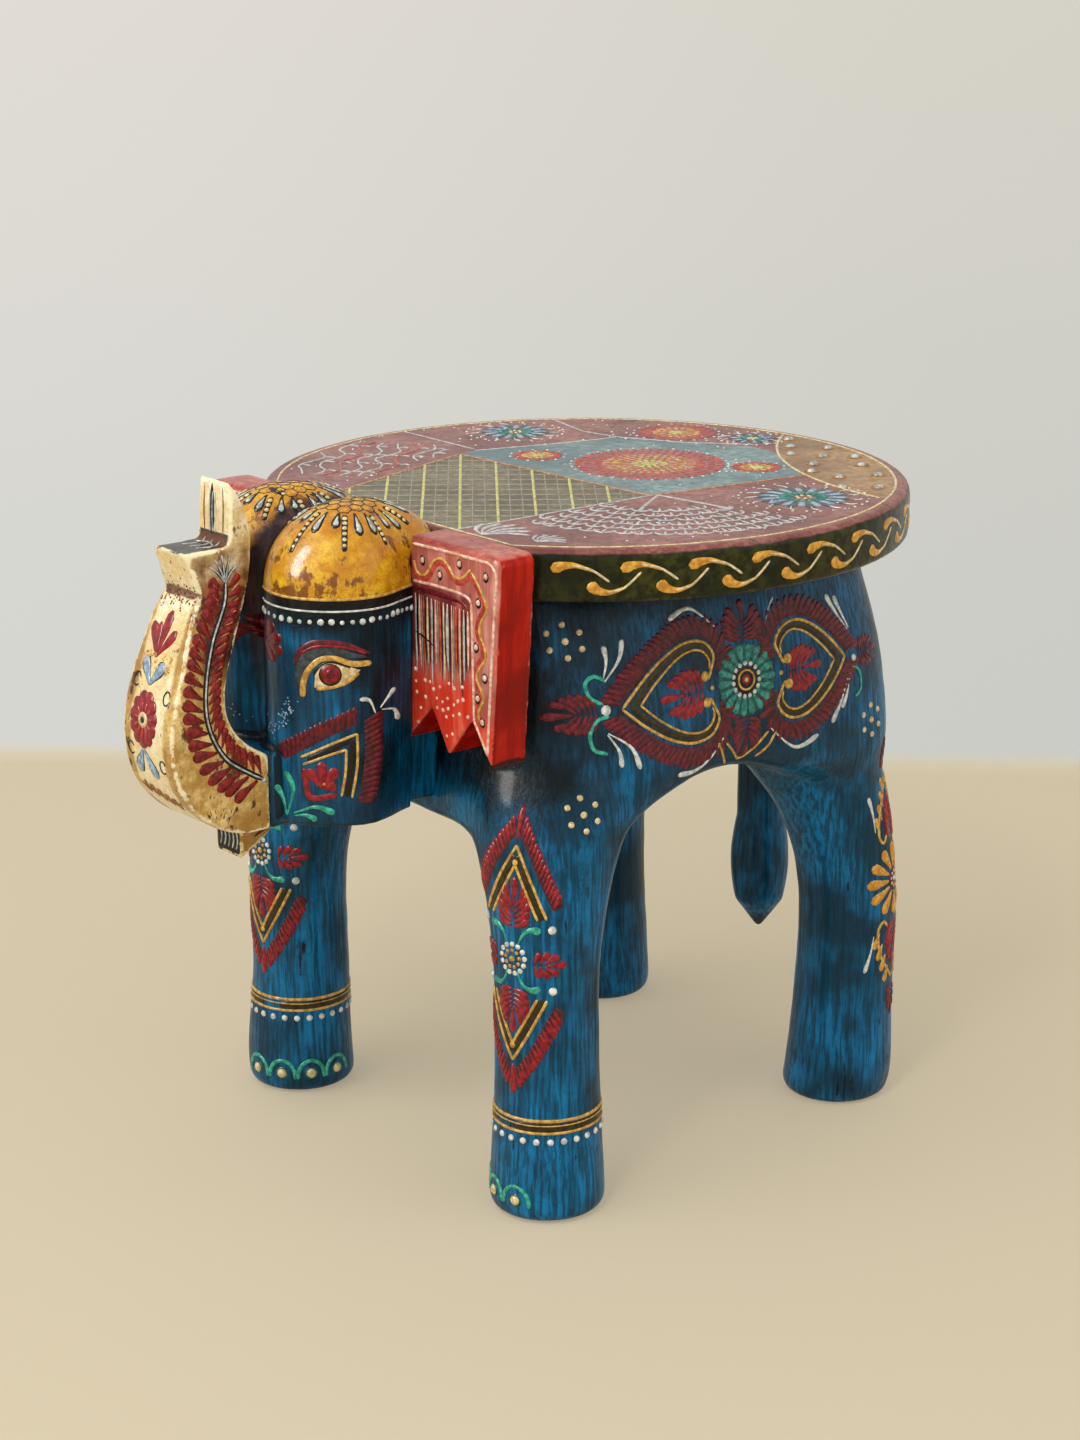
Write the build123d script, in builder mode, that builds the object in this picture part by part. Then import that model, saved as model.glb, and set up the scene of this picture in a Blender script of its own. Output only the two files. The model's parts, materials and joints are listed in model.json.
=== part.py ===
"""Carved elephant stool: a round seat on a carved elephant that faces -Y.

Every piece is solid wood. The flat "face" plane at the front of the seat and the
torso carries the head and the ears; the head's muzzle carries the trunk. The
origin is on the floor, under the middle of the whole stool's length and width.
"""

from build123d import *
from math import pi, sin, sqrt
import os

os.makedirs("parts", exist_ok=True)

# ------------------------------------------------------- driving dimensions, mm
# Seat board
seat_diameter = 300.0
seat_thickness = 23.0
seat_height = 303.0
seat_top_round = 3.0
seat_bottom_round = 1.5
face_setback = 119.0            # seat centre to the flat face for head and ears

# Torso: plan sections are rounded rectangles, narrower towards the seat
torso_underside = 170.0         # height of the flats that the legs are glued to
torso_width_low = 227.0
torso_width_top = 200.0
torso_rear_low = 111.0          # seat centre to the rump
torso_rear_top = 107.0
torso_corner_low = 36.0
torso_corner_top = 60.0
torso_bulge = 4.0               # how far the barrel swells between low and top
chest_lip = 5.0                 # how far the chest stands out under the head
chest_lip_top = 2.0             # and higher up, where the face plane cuts it off
shoulder_top = 209.0            # the shoulders end here, under the ears
belly_arch_span = 160.0         # the arch fades into the flats at its ends
belly_arch_rise = 18.0
belly_arch_shift = -15.0        # arch middle, from the seat centre
belly_edge_round = 8.0

# Legs
front_leg_x = 94.5
front_leg_y = -104.5            # from the seat centre
hind_leg_x = 87.5
hind_leg_y = 84.5
foot_radius = 26.0
foot_edge_round = 5.5
leg_waist_radius = 23.5
leg_waist_height = 92.0
leg_knee_height = 134.0         # the flare into the body starts above here
leg_knee_radius = 25.6
leg_top_radius = 34.0
leg_hollow = 0.4                # how much slimmer than a straight taper the shin is
leg_flare_share = 0.6           # knee to top: half of the flare is reached here
leg_root_share = 0.94           # a leg's form narrows to this share inside the torso
leg_root_lean = 0.3             # and leans inwards by this much for each mm of height
hind_leg_bow = 3.5              # the hind legs bow outwards at half height

# Head: two upright lobes, each with a dome
head_length = 77.5              # face plane to the trunk's glue face
jaw_height = 181.0
brow_height = 284.0             # the domes start here
dome_rise = 34.0
dome_turns = (90, 66, 44, 24, 9)    # degrees from a dome's top, one for each section
lobe_offset = 23.0              # middle of the head to a lobe's axis
lobe_setback = 36.0             # face plane to the lobes' axes
lobe_half_width = 32.0
lobe_half_length = 38.5
lobe_jaw_share = 0.96           # a lobe's size at the jaw, of its full size
lobe_jaw_shift = 3.0            # the lobes lean in by this at the jaw
cheek_top = 46.0                # half width of the flats that take the ears
cheek_jaw = 37.0
crown_height = 292.0            # the valley between the domes, behind the cleft
muzzle_rise = 34.0              # the muzzle's height above the trunk's foot

# Trunk: a thick plank, raised, thinned towards its stepped tip
trunk_thickness = 38.5
trunk_waist_thickness = 28.0
trunk_tip_thickness = 23.0
trunk_reach = 49.0              # glue face to the front of the curve
trunk_foot = 177.5
trunk_height = 153.5            # foot to tip; the shares below are of this
trunk_lower_share = 0.072       # a point of the front curve below the belly
trunk_belly_share = 0.296       # the curve stands furthest forward here
trunk_throat_share = 0.4        # the hollow behind the curve
trunk_upper_share = 0.489       # a point of the front curve above the belly
trunk_waist_share = 0.697       # the crease under the lower, front prong
trunk_step_share = 0.821        # flat top of the front prong
trunk_throat_depth = 20.0       # glue face to the hollow
trunk_nape_depth = 4.0          # the rear outline behind the crease
trunk_upper_depth = 42.0
trunk_lower_depth = 34.0
trunk_waist_depth = 28.0
trunk_step_inner = 11.5         # glue face to the rear prong's front
trunk_step_outer = 34.5         # glue face to the front prong's end
trunk_tip_lean = 1.5            # the rear prong leans back by this at its tip
trunk_edge_round = 1.6

# Lower lip: a wedge glued under the trunk's foot and the muzzle
lip_width = 19.0
lip_reach = 9.5                 # in front of the trunk's glue face
lip_root = 6.5                  # behind it
lip_front_depth = 14.0
lip_rear_depth = 4.5

# Ears: boards with a notched lower edge
ear_thickness = 20.0
ear_rise = 1.5                  # the ears stand this far above the seat
ear_overhang = 15.7             # the ear's top corner stands this far out past the seat's edge
ear_outer_taper = 8.0           # and its lower corner this much less
ear_point_height = 211.0
ear_notch_height = 230.0
ear_outer_notch = 0.22          # places along the lower edge, from the outer corner
ear_middle_point = 0.49
ear_inner_notch = 0.68
ear_corner_round = 5.0
ear_edge_round = 1.5

# Tail: a turned drop, coped to the rump
tail_radius = 12.0
tail_swell_radius = 13.8
tail_swell_height = 74.0
tail_drop_radius = 12.4         # where the drop's round side meets its cone
tail_drop_height = 67.0
tail_shoulder_height = 112.0    # the tail is parallel above here
tail_point_radius = 1.5
tail_point_height = 52.0
tail_top_height = 226.0
tail_axis_gap = 6.0             # the tail's axis, behind the rump

# Pegs
seat_peg_radius = 5.0
seat_peg_length = 34.0
seat_peg_spread = 66.0
leg_peg_radius = 6.0
leg_peg_length = 56.0
leg_peg_spread = 9.0
head_peg_radius = 6.0
head_peg_length = 56.0
head_peg_shares = (0.3, 0.7)    # jaw to seat underside
ear_peg_radius = 4.0
ear_peg_length = 28.0
ear_peg_inset = 14.0            # cheek to the first peg
ear_peg_pitch = 20.0
trunk_peg_radius = 4.0
trunk_peg_length = 30.0
trunk_peg_spread = 9.0
tail_peg_radius = 4.0
tail_peg_length = 24.0
tail_peg_height = 200.0
peg_clearance = 0.05            # around a peg
peg_end_gap = 1.0               # glue space at each end of a peg

# ---------------------------------------------------------------- worked out, mm
seat_radius = seat_diameter / 2
seat_underside = seat_height - seat_thickness
front_reach = face_setback + head_length + trunk_reach
seat_y = (front_reach - seat_radius) / 2
face_y = seat_y - face_setback
muzzle_y = face_y - head_length
lobe_y = face_y - lobe_setback
ear_front_y = face_y - ear_thickness
cope_y = seat_y + torso_rear_low
tail_y = cope_y + tail_axis_gap
torso_mid = (torso_underside + seat_underside) / 2
leg_top_shift = leg_top_radius - leg_waist_radius   # a leg's top sits this far inwards
muzzle_middle = trunk_foot + muzzle_rise / 2
ear_top = seat_height + ear_rise
ear_outer_top = sqrt(seat_radius**2 - face_setback**2) + ear_overhang
ear_outer_bottom = ear_outer_top - ear_outer_taper
trunk_lower_height = trunk_foot + trunk_lower_share * trunk_height
trunk_belly_height = trunk_foot + trunk_belly_share * trunk_height
trunk_throat_height = trunk_foot + trunk_throat_share * trunk_height
trunk_upper_height = trunk_foot + trunk_upper_share * trunk_height
trunk_waist_height = trunk_foot + trunk_waist_share * trunk_height
trunk_step_height = trunk_foot + trunk_step_share * trunk_height
trunk_tip_height = trunk_foot + trunk_height
face_plane = Plane.XZ.offset(-face_y)
muzzle_plane = Plane.XZ.offset(-muzzle_y)
far = 2 * seat_diameter         # larger than any piece, for cutting


def finish(piece, name):
    """Label a finished piece and write its STEP file."""
    piece.label = name
    export_step(piece, f"parts/{name}.step")


def pegs_through(planes, radius, length, extra=0.0):
    """Round pegs, each standing half below and half above its plane."""
    with BuildPart() as pegs:
        for plane in planes:
            with BuildSketch(plane.offset(-length / 2 - extra)):
                Circle(radius)
            extrude(amount=length + 2 * extra)
    return pegs.part


def peg_holes(planes, radius, length):
    """The holes for such pegs, with glue space."""
    return pegs_through(planes, radius + peg_clearance, length, peg_end_gap)


def cheek_half_width(height):
    """Half width of the flat cheeks, which narrow evenly towards the jaw."""
    return cheek_jaw + (cheek_top - cheek_jaw) * (height - jaw_height) / (seat_height - jaw_height)


# ------------------------------------------------------------- places of the pegs
seat_peg_planes = [
    Plane((x, seat_y + y, seat_underside))
    for x in (-seat_peg_spread, seat_peg_spread)
    for y in (-seat_peg_spread, seat_peg_spread)
]
leg_places = {
    "leg_front_left": (front_leg_x, front_leg_y),
    "leg_front_right": (-front_leg_x, front_leg_y),
    "leg_hind_left": (hind_leg_x, hind_leg_y),
    "leg_hind_right": (-hind_leg_x, hind_leg_y),
}
leg_peg_planes = {
    name: [
        Plane(
            (
                x * (1 - leg_top_shift / 2 / abs(x)),
                seat_y + y * (1 - leg_top_shift / 2 / abs(y)) + spread,
                torso_underside,
            )
        )
        for spread in (-leg_peg_spread, leg_peg_spread)
    ]
    for name, (x, y) in leg_places.items()
}
head_peg_planes = [
    face_plane.shift_origin((0, face_y, jaw_height + share * (seat_underside - jaw_height)))
    for share in head_peg_shares
]
ear_peg_height = seat_height - seat_thickness / 2
ear_peg_planes = {
    side: [
        face_plane.shift_origin((side * (cheek_top + ear_peg_inset + step), face_y, ear_peg_height))
        for step in (0, ear_peg_pitch)
    ]
    for side in (1, -1)
}
trunk_peg_planes = [
    muzzle_plane.shift_origin((0, muzzle_y, muzzle_middle + spread))
    for spread in (-trunk_peg_spread, trunk_peg_spread)
]
tail_peg_planes = [Plane.XZ.offset(-cope_y).shift_origin((0, cope_y, tail_peg_height))]


# -------------------------------------------------------------------- leg forms
def leg_form(x, y, bow):
    """A leg from the floor up into the torso.

    Its outer and end faces run straight up; a wider section moves its centre
    inwards, so only the inner sides flare into the body.
    """
    flare_height = leg_knee_height + (torso_underside - leg_knee_height) * leg_flare_share
    sections = [
        (0.0, foot_radius),
        (leg_waist_height / 2, (foot_radius + leg_waist_radius) / 2 - leg_hollow),
        (leg_waist_height, leg_waist_radius),
        (leg_knee_height, leg_knee_radius),
        (flare_height, (leg_knee_radius + leg_top_radius) / 2),
        (torso_underside, leg_top_radius),
        (shoulder_top, leg_top_radius * leg_root_share),
    ]
    inward_x = -1 if x > 0 else 1
    inward_y = -1 if y > 0 else 1
    with BuildPart() as form:
        for height, radius in sections:
            flare = 0.0
            if height > leg_waist_height:
                flare = radius - leg_waist_radius + max(height - torso_underside, 0) * leg_root_lean
            sway = bow * sin(pi * min(height / torso_underside, 1))
            place = Plane(
                (
                    x + inward_x * (flare - sway),
                    seat_y + y + inward_y * (flare - sway),
                    height,
                )
            )
            with BuildSketch(place):
                Circle(radius)
        loft()
    return form.part


leg_forms = {
    name: leg_form(x, y, hind_leg_bow if y > 0 else 0.0)
    for name, (x, y) in leg_places.items()
}

# ------------------------------------------------------------------------ torso
def torso_plan(height, width, front, rear, corner):
    """The barrel's plan at one height: a rounded rectangle drawn as one smooth curve."""
    half = width / 2
    nook = corner * (1 - sqrt(0.5))     # how far a corner's middle stands off its square corner
    left_side = [
        (half, (rear - front) / 2),
        (half, rear - corner),
        (half - nook, rear - nook),
        (half - corner, rear),
    ]
    front_side = [
        (half - corner, -front),
        (half - nook, -front + nook),
        (half, -front + corner),
    ]
    right_rear = [(-x, y) for x, y in reversed(left_side)]
    right_front = [(-x, y) for x, y in reversed(front_side)]
    rim = [*left_side, (0, rear), *right_rear, *right_front, (0, -front), *front_side]
    with BuildSketch(Plane((0, seat_y, height))) as plan:
        with BuildLine():
            Spline(*rim, periodic=True)
        make_face()
    return plan.sketch.face()


with BuildPart() as torso:
    low_plan = torso_plan(
        torso_underside, torso_width_low, face_setback + chest_lip, torso_rear_low, torso_corner_low
    )
    mid_plan = torso_plan(
        torso_mid,
        (torso_width_low + torso_width_top) / 2 + 2 * torso_bulge,
        face_setback + chest_lip_top,
        (torso_rear_low + torso_rear_top) / 2 + torso_bulge,
        (torso_corner_low + torso_corner_top) / 2,
    )
    top_plan = torso_plan(
        seat_underside, torso_width_top, face_setback + chest_lip_top, torso_rear_top, torso_corner_top
    )
    loft(sections=[low_plan, mid_plan, top_plan])
    with BuildSketch(Plane.YZ):
        with BuildLine():
            arch_front = (seat_y + belly_arch_shift - belly_arch_span / 2, torso_underside)
            arch_top = (seat_y + belly_arch_shift, torso_underside + belly_arch_rise)
            arch_rear = (seat_y + belly_arch_shift + belly_arch_span / 2, torso_underside)
            Spline(arch_front, arch_top, tangents=((1, 0), (1, 0)))
            Spline(arch_top, arch_rear, tangents=((1, 0), (1, 0)))
            Polyline(
                arch_rear,
                (far, torso_underside),
                (far, torso_underside - far),
                (-far, torso_underside - far),
                (-far, torso_underside),
                arch_front,
            )
        make_face()
    extrude(amount=torso_width_low, both=True, mode=Mode.SUBTRACT)
    underside_faces = torso.faces().filter_by(lambda face: face.normal_at().Z < -0.5)
    underside_edges = underside_faces.edges()
    fillet(
        underside_edges.filter_by(lambda edge: underside_edges.count(edge) == 1),
        belly_edge_round,
    )
    for form in leg_forms.values():
        add(form)
    split(bisect_by=Plane.XY.offset(torso_underside), keep=Keep.TOP)
    with BuildSketch(face_plane):
        with Locations((0, (shoulder_top + far) / 2)):
            Rectangle(far, far - shoulder_top)
        with Locations((0, (jaw_height + far) / 2)):
            Rectangle(2 * cheek_top, far - jaw_height)
    extrude(amount=far, mode=Mode.SUBTRACT)
    add(peg_holes(seat_peg_planes, seat_peg_radius, seat_peg_length), mode=Mode.SUBTRACT)
    add(peg_holes(head_peg_planes, head_peg_radius, head_peg_length), mode=Mode.SUBTRACT)
    add(peg_holes(tail_peg_planes, tail_peg_radius, tail_peg_length), mode=Mode.SUBTRACT)
    for planes in leg_peg_planes.values():
        add(peg_holes(planes, leg_peg_radius, leg_peg_length), mode=Mode.SUBTRACT)
finish(torso.part, "torso")

# ------------------------------------------------------------------------- legs
for leg_name, form in leg_forms.items():
    with BuildPart() as leg:
        add(form)
        split(bisect_by=Plane.XY.offset(torso_underside), keep=Keep.BOTTOM)
        fillet(leg.edges().group_by(Axis.Z)[0], foot_edge_round)
        add(peg_holes(leg_peg_planes[leg_name], leg_peg_radius, leg_peg_length), mode=Mode.SUBTRACT)
    finish(leg.part, leg_name)

# ------------------------------------------------------------------- seat board
with BuildPart() as seat_board:
    with BuildSketch(Plane((0, seat_y, seat_underside))):
        Circle(seat_radius)
    extrude(amount=seat_thickness)
    split(bisect_by=face_plane, keep=Keep.BOTTOM)
    rim_edges = seat_board.edges().filter_by(GeomType.CIRCLE)
    fillet(rim_edges.sort_by(Axis.Z)[-1], seat_top_round)
    fillet(rim_edges.sort_by(Axis.Z)[0], seat_bottom_round)
    add(peg_holes(seat_peg_planes, seat_peg_radius, seat_peg_length), mode=Mode.SUBTRACT)
    for planes in ear_peg_planes.values():
        add(peg_holes(planes, ear_peg_radius, ear_peg_length), mode=Mode.SUBTRACT)
finish(seat_board.part, "seat_board")

# ------------------------------------------------------------------------- head
def lobe_plan(side, height, share, shift=0.0):
    """A lobe's plan: round in front, flattened along the cheek, scaled about its axis."""
    rim = [
        (0.0, 1.0),
        (0.68, 0.77),
        (1.0, 0.22),
        (0.81, -0.34),
        (0.67, -0.78),
        (0.3, -1.18),
        (-0.5, -1.1),
        (-1.0, -0.3),
        (-0.86, 0.45),
        (-0.5, 0.86),
    ]
    with BuildSketch(Plane((side * (lobe_offset - shift), lobe_y, height))) as plan:
        with BuildLine():
            Spline(
                *[(side * share * lobe_half_width * u, -share * lobe_half_length * v) for u, v in rim],
                periodic=True,
            )
        make_face()
    return plan.sketch


dome_shares = [sin(turn * pi / 180) for turn in dome_turns]
cheek_height = (2 * jaw_height + brow_height) / 3
cheek_share = (lobe_jaw_share + 1) / 2

with BuildPart() as head:
    for side in (1, -1):
        cheek_sections = [
            lobe_plan(side, jaw_height, lobe_jaw_share, lobe_jaw_shift),
            lobe_plan(side, cheek_height, cheek_share, lobe_jaw_shift / 2),
            lobe_plan(side, brow_height, 1.0),
        ]
        loft(sections=[section.face() for section in cheek_sections])
        dome_sections = [
            lobe_plan(side, brow_height + dome_rise * sqrt(1 - share**2), share)
            for share in dome_shares
        ]
        loft(sections=[section.face() for section in dome_sections])
    with BuildSketch(Plane.XY.offset(jaw_height)):
        with Locations((0, (lobe_y + face_y) / 2)):
            Rectangle(2 * cheek_jaw, face_y - lobe_y)
    extrude(amount=crown_height - jaw_height)
    with BuildSketch(Plane.XY.offset(trunk_foot)):
        with Locations((0, (muzzle_y + lobe_y) / 2)):
            Rectangle(trunk_thickness, lobe_y - muzzle_y)
    extrude(amount=muzzle_rise)
    split(bisect_by=face_plane, keep=Keep.TOP)
    with BuildSketch(face_plane):
        with BuildLine():
            Polyline(
                (cheek_half_width(trunk_foot), trunk_foot),
                (cheek_half_width(trunk_tip_height), trunk_tip_height),
                (seat_radius, trunk_tip_height),
                (seat_radius, trunk_foot),
                close=True,
            )
        make_face()
        mirror(about=Plane.YZ)
    extrude(amount=ear_thickness, mode=Mode.SUBTRACT)
    add(peg_holes(head_peg_planes, head_peg_radius, head_peg_length), mode=Mode.SUBTRACT)
    add(peg_holes(trunk_peg_planes, trunk_peg_radius, trunk_peg_length), mode=Mode.SUBTRACT)
finish(head.part, "head")


# ------------------------------------------------------------------------ trunk
def ahead(depth, height):
    """A point of the trunk's side outline, `depth` in front of its glue face."""
    return muzzle_y - depth, height


with BuildPart() as trunk:
    with BuildSketch(Plane.YZ):
        with BuildLine():
            Spline(
                ahead(0, trunk_foot + muzzle_rise),
                ahead(trunk_throat_depth, trunk_throat_height),
                ahead(trunk_nape_depth, trunk_waist_height),
                ahead(0, trunk_step_height),
                ahead(trunk_step_inner - trunk_tip_lean, trunk_tip_height),
            )
            Polyline(
                ahead(trunk_step_inner - trunk_tip_lean, trunk_tip_height),
                ahead(trunk_step_inner, trunk_step_height),
                ahead(trunk_step_outer, trunk_step_height),
                ahead(trunk_waist_depth, trunk_waist_height),
            )
            Spline(
                ahead(trunk_waist_depth, trunk_waist_height),
                ahead(trunk_upper_depth, trunk_upper_height),
                ahead(trunk_reach, trunk_belly_height),
                tangents=((-0.75, -1), (0, -1)),
            )
            Spline(
                ahead(trunk_reach, trunk_belly_height),
                ahead(trunk_lower_depth, trunk_lower_height),
                ahead(lip_reach, trunk_foot),
                tangents=((0, -1), (1, -0.1)),
            )
            Polyline(ahead(lip_reach, trunk_foot), ahead(0, trunk_foot), ahead(0, trunk_foot + muzzle_rise))
        make_face()
    extrude(amount=trunk_thickness / 2, both=True)
    with BuildSketch(muzzle_plane):
        with BuildLine():
            Line((0, trunk_foot), (trunk_thickness / 2, trunk_foot))
            Line((trunk_thickness / 2, trunk_foot), (trunk_thickness / 2, trunk_throat_height))
            Spline(
                (trunk_thickness / 2, trunk_throat_height),
                (trunk_waist_thickness / 2, trunk_waist_height),
                (trunk_tip_thickness / 2, trunk_tip_height),
                tangents=((0, 1), (-0.06, 1)),
            )
            Line((trunk_tip_thickness / 2, trunk_tip_height), (0, trunk_tip_height))
            Line((0, trunk_tip_height), (0, trunk_foot))
        make_face()
        mirror(about=Plane.YZ)
    extrude(amount=trunk_reach, both=True, mode=Mode.INTERSECT)
    side_faces = trunk.faces().filter_by(lambda face: abs(face.normal_at().X) > 0.9)
    fillet(side_faces.edges().filter_by(lambda edge: edge.center().Y < muzzle_y - trunk_edge_round), trunk_edge_round)
    add(peg_holes(trunk_peg_planes, trunk_peg_radius, trunk_peg_length), mode=Mode.SUBTRACT)
finish(trunk.part, "trunk")

# -------------------------------------------------------------------- lower lip
with BuildPart() as lower_lip:
    with BuildSketch(Plane.YZ):
        with BuildLine():
            Polyline(
                ahead(-lip_root, trunk_foot),
                ahead(lip_reach, trunk_foot),
                ahead(lip_reach, trunk_foot - lip_front_depth),
                ahead(-lip_root, trunk_foot - lip_rear_depth),
                close=True,
            )
        make_face()
    extrude(amount=lip_width / 2, both=True)
finish(lower_lip.part, "lower_lip")


# ------------------------------------------------------------------------- ears
def ear_board(side):
    """An ear: straight on top, two notches below; `side` is 1 left, -1 right."""
    inner_bottom = cheek_half_width(ear_point_height)
    span = ear_outer_bottom - inner_bottom
    outline = [
        (cheek_half_width(ear_top), ear_top),
        (ear_outer_top, ear_top),
        (ear_outer_bottom, ear_point_height),
        (ear_outer_bottom - ear_outer_notch * span, ear_notch_height),
        (ear_outer_bottom - ear_middle_point * span, ear_point_height),
        (ear_outer_bottom - ear_inner_notch * span, ear_notch_height),
        (inner_bottom, ear_point_height),
    ]
    with BuildPart() as ear:
        with BuildSketch(face_plane):
            with BuildLine():
                Polyline(*[(side * x, z) for x, z in outline], close=True)
            make_face()
        extrude(amount=ear_thickness)
        outer_corners = ear.edges().filter_by(Axis.Y).sort_by(Axis.X)
        fillet(outer_corners[-1 if side > 0 else 0], ear_corner_round)
        fillet(ear.faces().sort_by(Axis.Y)[0].edges(), ear_edge_round)
        add(peg_holes(ear_peg_planes[side], ear_peg_radius, ear_peg_length), mode=Mode.SUBTRACT)
    return ear.part


for ear_name, ear_side in (("ear_left", 1), ("ear_right", -1)):
    finish(ear_board(ear_side), ear_name)

# ------------------------------------------------------------------------- tail
with BuildPart() as tail:
    with BuildSketch(Plane.YZ):
        with BuildLine():
            Polyline(
                (tail_y, tail_point_height),
                (tail_y + tail_point_radius, tail_point_height),
                (tail_y + tail_drop_radius, tail_drop_height),
            )
            Spline(
                (tail_y + tail_drop_radius, tail_drop_height),
                (tail_y + tail_swell_radius, tail_swell_height),
                (tail_y + tail_radius, tail_shoulder_height),
            )
            Line(
                (tail_y + tail_radius, tail_shoulder_height),
                (tail_y + tail_radius, tail_top_height - tail_radius),
            )
            RadiusArc(
                (tail_y + tail_radius, tail_top_height - tail_radius),
                (tail_y, tail_top_height),
                -tail_radius,
            )
            Line((tail_y, tail_top_height), (tail_y, tail_point_height))
        make_face()
    revolve(axis=Axis((0, tail_y, 0), (0, 0, 1)))
    add(torso.part, mode=Mode.SUBTRACT)
    add(peg_holes(tail_peg_planes, tail_peg_radius, tail_peg_length), mode=Mode.SUBTRACT)
finish(tail.part, "tail")

# ------------------------------------------------------------------------- pegs
finish(pegs_through(seat_peg_planes, seat_peg_radius, seat_peg_length), "seat_dowels")
finish(pegs_through(sum(leg_peg_planes.values(), []), leg_peg_radius, leg_peg_length), "leg_dowels")
finish(pegs_through(head_peg_planes, head_peg_radius, head_peg_length), "head_dowels")
finish(pegs_through(sum(ear_peg_planes.values(), []), ear_peg_radius, ear_peg_length), "ear_dowels")
finish(pegs_through(trunk_peg_planes, trunk_peg_radius, trunk_peg_length), "trunk_dowels")
finish(pegs_through(tail_peg_planes, tail_peg_radius, tail_peg_length), "tail_dowel")
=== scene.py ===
"""Carved elephant stool: paint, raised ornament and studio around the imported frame.

Lengths in the classes are millimetres measured from the seat's centre line, with
heights from the floor; `Place.world` turns them into metres of the shared frame.
"""

from __future__ import annotations

import json
import logging
import math
import random
from collections import defaultdict
from dataclasses import dataclass, field
from enum import Enum, IntEnum
from typing import Iterable, Sequence

import bmesh
import bpy
import numpy as np
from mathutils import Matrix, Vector, noise

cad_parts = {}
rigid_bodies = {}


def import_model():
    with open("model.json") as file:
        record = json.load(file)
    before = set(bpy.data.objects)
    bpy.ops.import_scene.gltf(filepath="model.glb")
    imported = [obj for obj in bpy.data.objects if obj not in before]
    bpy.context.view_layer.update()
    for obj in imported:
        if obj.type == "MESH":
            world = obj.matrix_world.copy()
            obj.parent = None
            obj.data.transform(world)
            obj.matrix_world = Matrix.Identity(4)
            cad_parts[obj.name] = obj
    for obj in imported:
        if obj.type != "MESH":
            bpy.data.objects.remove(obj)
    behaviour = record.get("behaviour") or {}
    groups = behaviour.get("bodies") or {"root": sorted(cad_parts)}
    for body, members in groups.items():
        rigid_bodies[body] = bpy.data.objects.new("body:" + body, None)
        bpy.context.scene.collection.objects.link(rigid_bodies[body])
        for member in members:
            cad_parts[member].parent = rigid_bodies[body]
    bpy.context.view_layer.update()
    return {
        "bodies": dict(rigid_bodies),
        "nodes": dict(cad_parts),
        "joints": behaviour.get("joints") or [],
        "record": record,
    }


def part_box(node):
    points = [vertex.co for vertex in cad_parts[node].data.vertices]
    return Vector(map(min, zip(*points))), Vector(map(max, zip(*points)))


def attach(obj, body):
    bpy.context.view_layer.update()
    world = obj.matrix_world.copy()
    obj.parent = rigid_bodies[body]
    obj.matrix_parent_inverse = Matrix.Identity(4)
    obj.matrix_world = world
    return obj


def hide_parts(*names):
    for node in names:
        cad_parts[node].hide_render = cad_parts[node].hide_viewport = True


LOG = logging.getLogger("elephant_stool")
MM = 0.001
FAR = 1000.0
Point = tuple[float, float]
Path = Sequence[Point]
Colour = tuple[float, float, float, float]
Socket = bpy.types.NodeSocket
Sockets = bpy.types.bpy_prop_collection
Tree = bpy.types.NodeTree
Mesh = bpy.types.Mesh
Piece = bpy.types.Object
Material = bpy.types.Material


def tint(red: int, green: int, blue: int) -> Colour:
    """Turn a paint chip's 0 to 255 values into a linear colour.

    Args:
        red: Red value of the chip.
        green: Green value.
        blue: Blue value.

    Returns:
        The linear colour with full opacity.
    """
    channels = []
    for value in (red, green, blue):
        share = value / 255
        channels.append(share / 12.92 if share <= 0.04045 else ((share + 0.055) / 1.055) ** 2.4)
    return (*channels, 1.0)


def outward(turn: float, rise: float = 0.0) -> Vector:
    """The direction at a turn from the front and a rise from level, in radians."""
    return Vector((math.sin(turn) * math.cos(rise), -math.cos(turn) * math.cos(rise), math.sin(rise)))


def linked(name: str, data: bpy.types.ID) -> Piece:
    """Make an object and put it in the scene.

    Args:
        name: The object's name.
        data: Its mesh, lamp or camera.

    Returns:
        The object.
    """
    item = bpy.data.objects.new(name, data)
    bpy.context.scene.collection.objects.link(item)
    return item


@dataclass(frozen=True)
class Place:
    """Where the seat's centre stands in the shared frame."""

    seat_y: float
    seat_radius: float = 150.0

    @classmethod
    def read(cls) -> Place:
        """Find the seat's centre from its rear edge."""
        _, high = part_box("seat_board")
        return cls(seat_y=high.y / MM - cls.seat_radius)

    def world(self, x: float, y: float, z: float) -> Vector:
        """Turn a point measured from the seat's centre into metres of the frame."""
        return Vector((x, y + self.seat_y, z)) * MM


# ------------------------------------------------------------------- node helpers
def live(sockets: Sockets, label: str | int) -> Socket:
    """Find a socket by number, or the one of a name that the node has in use."""
    return sockets[label] if isinstance(label, int) else next(s for s in sockets if s.name == label and s.enabled)


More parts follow.
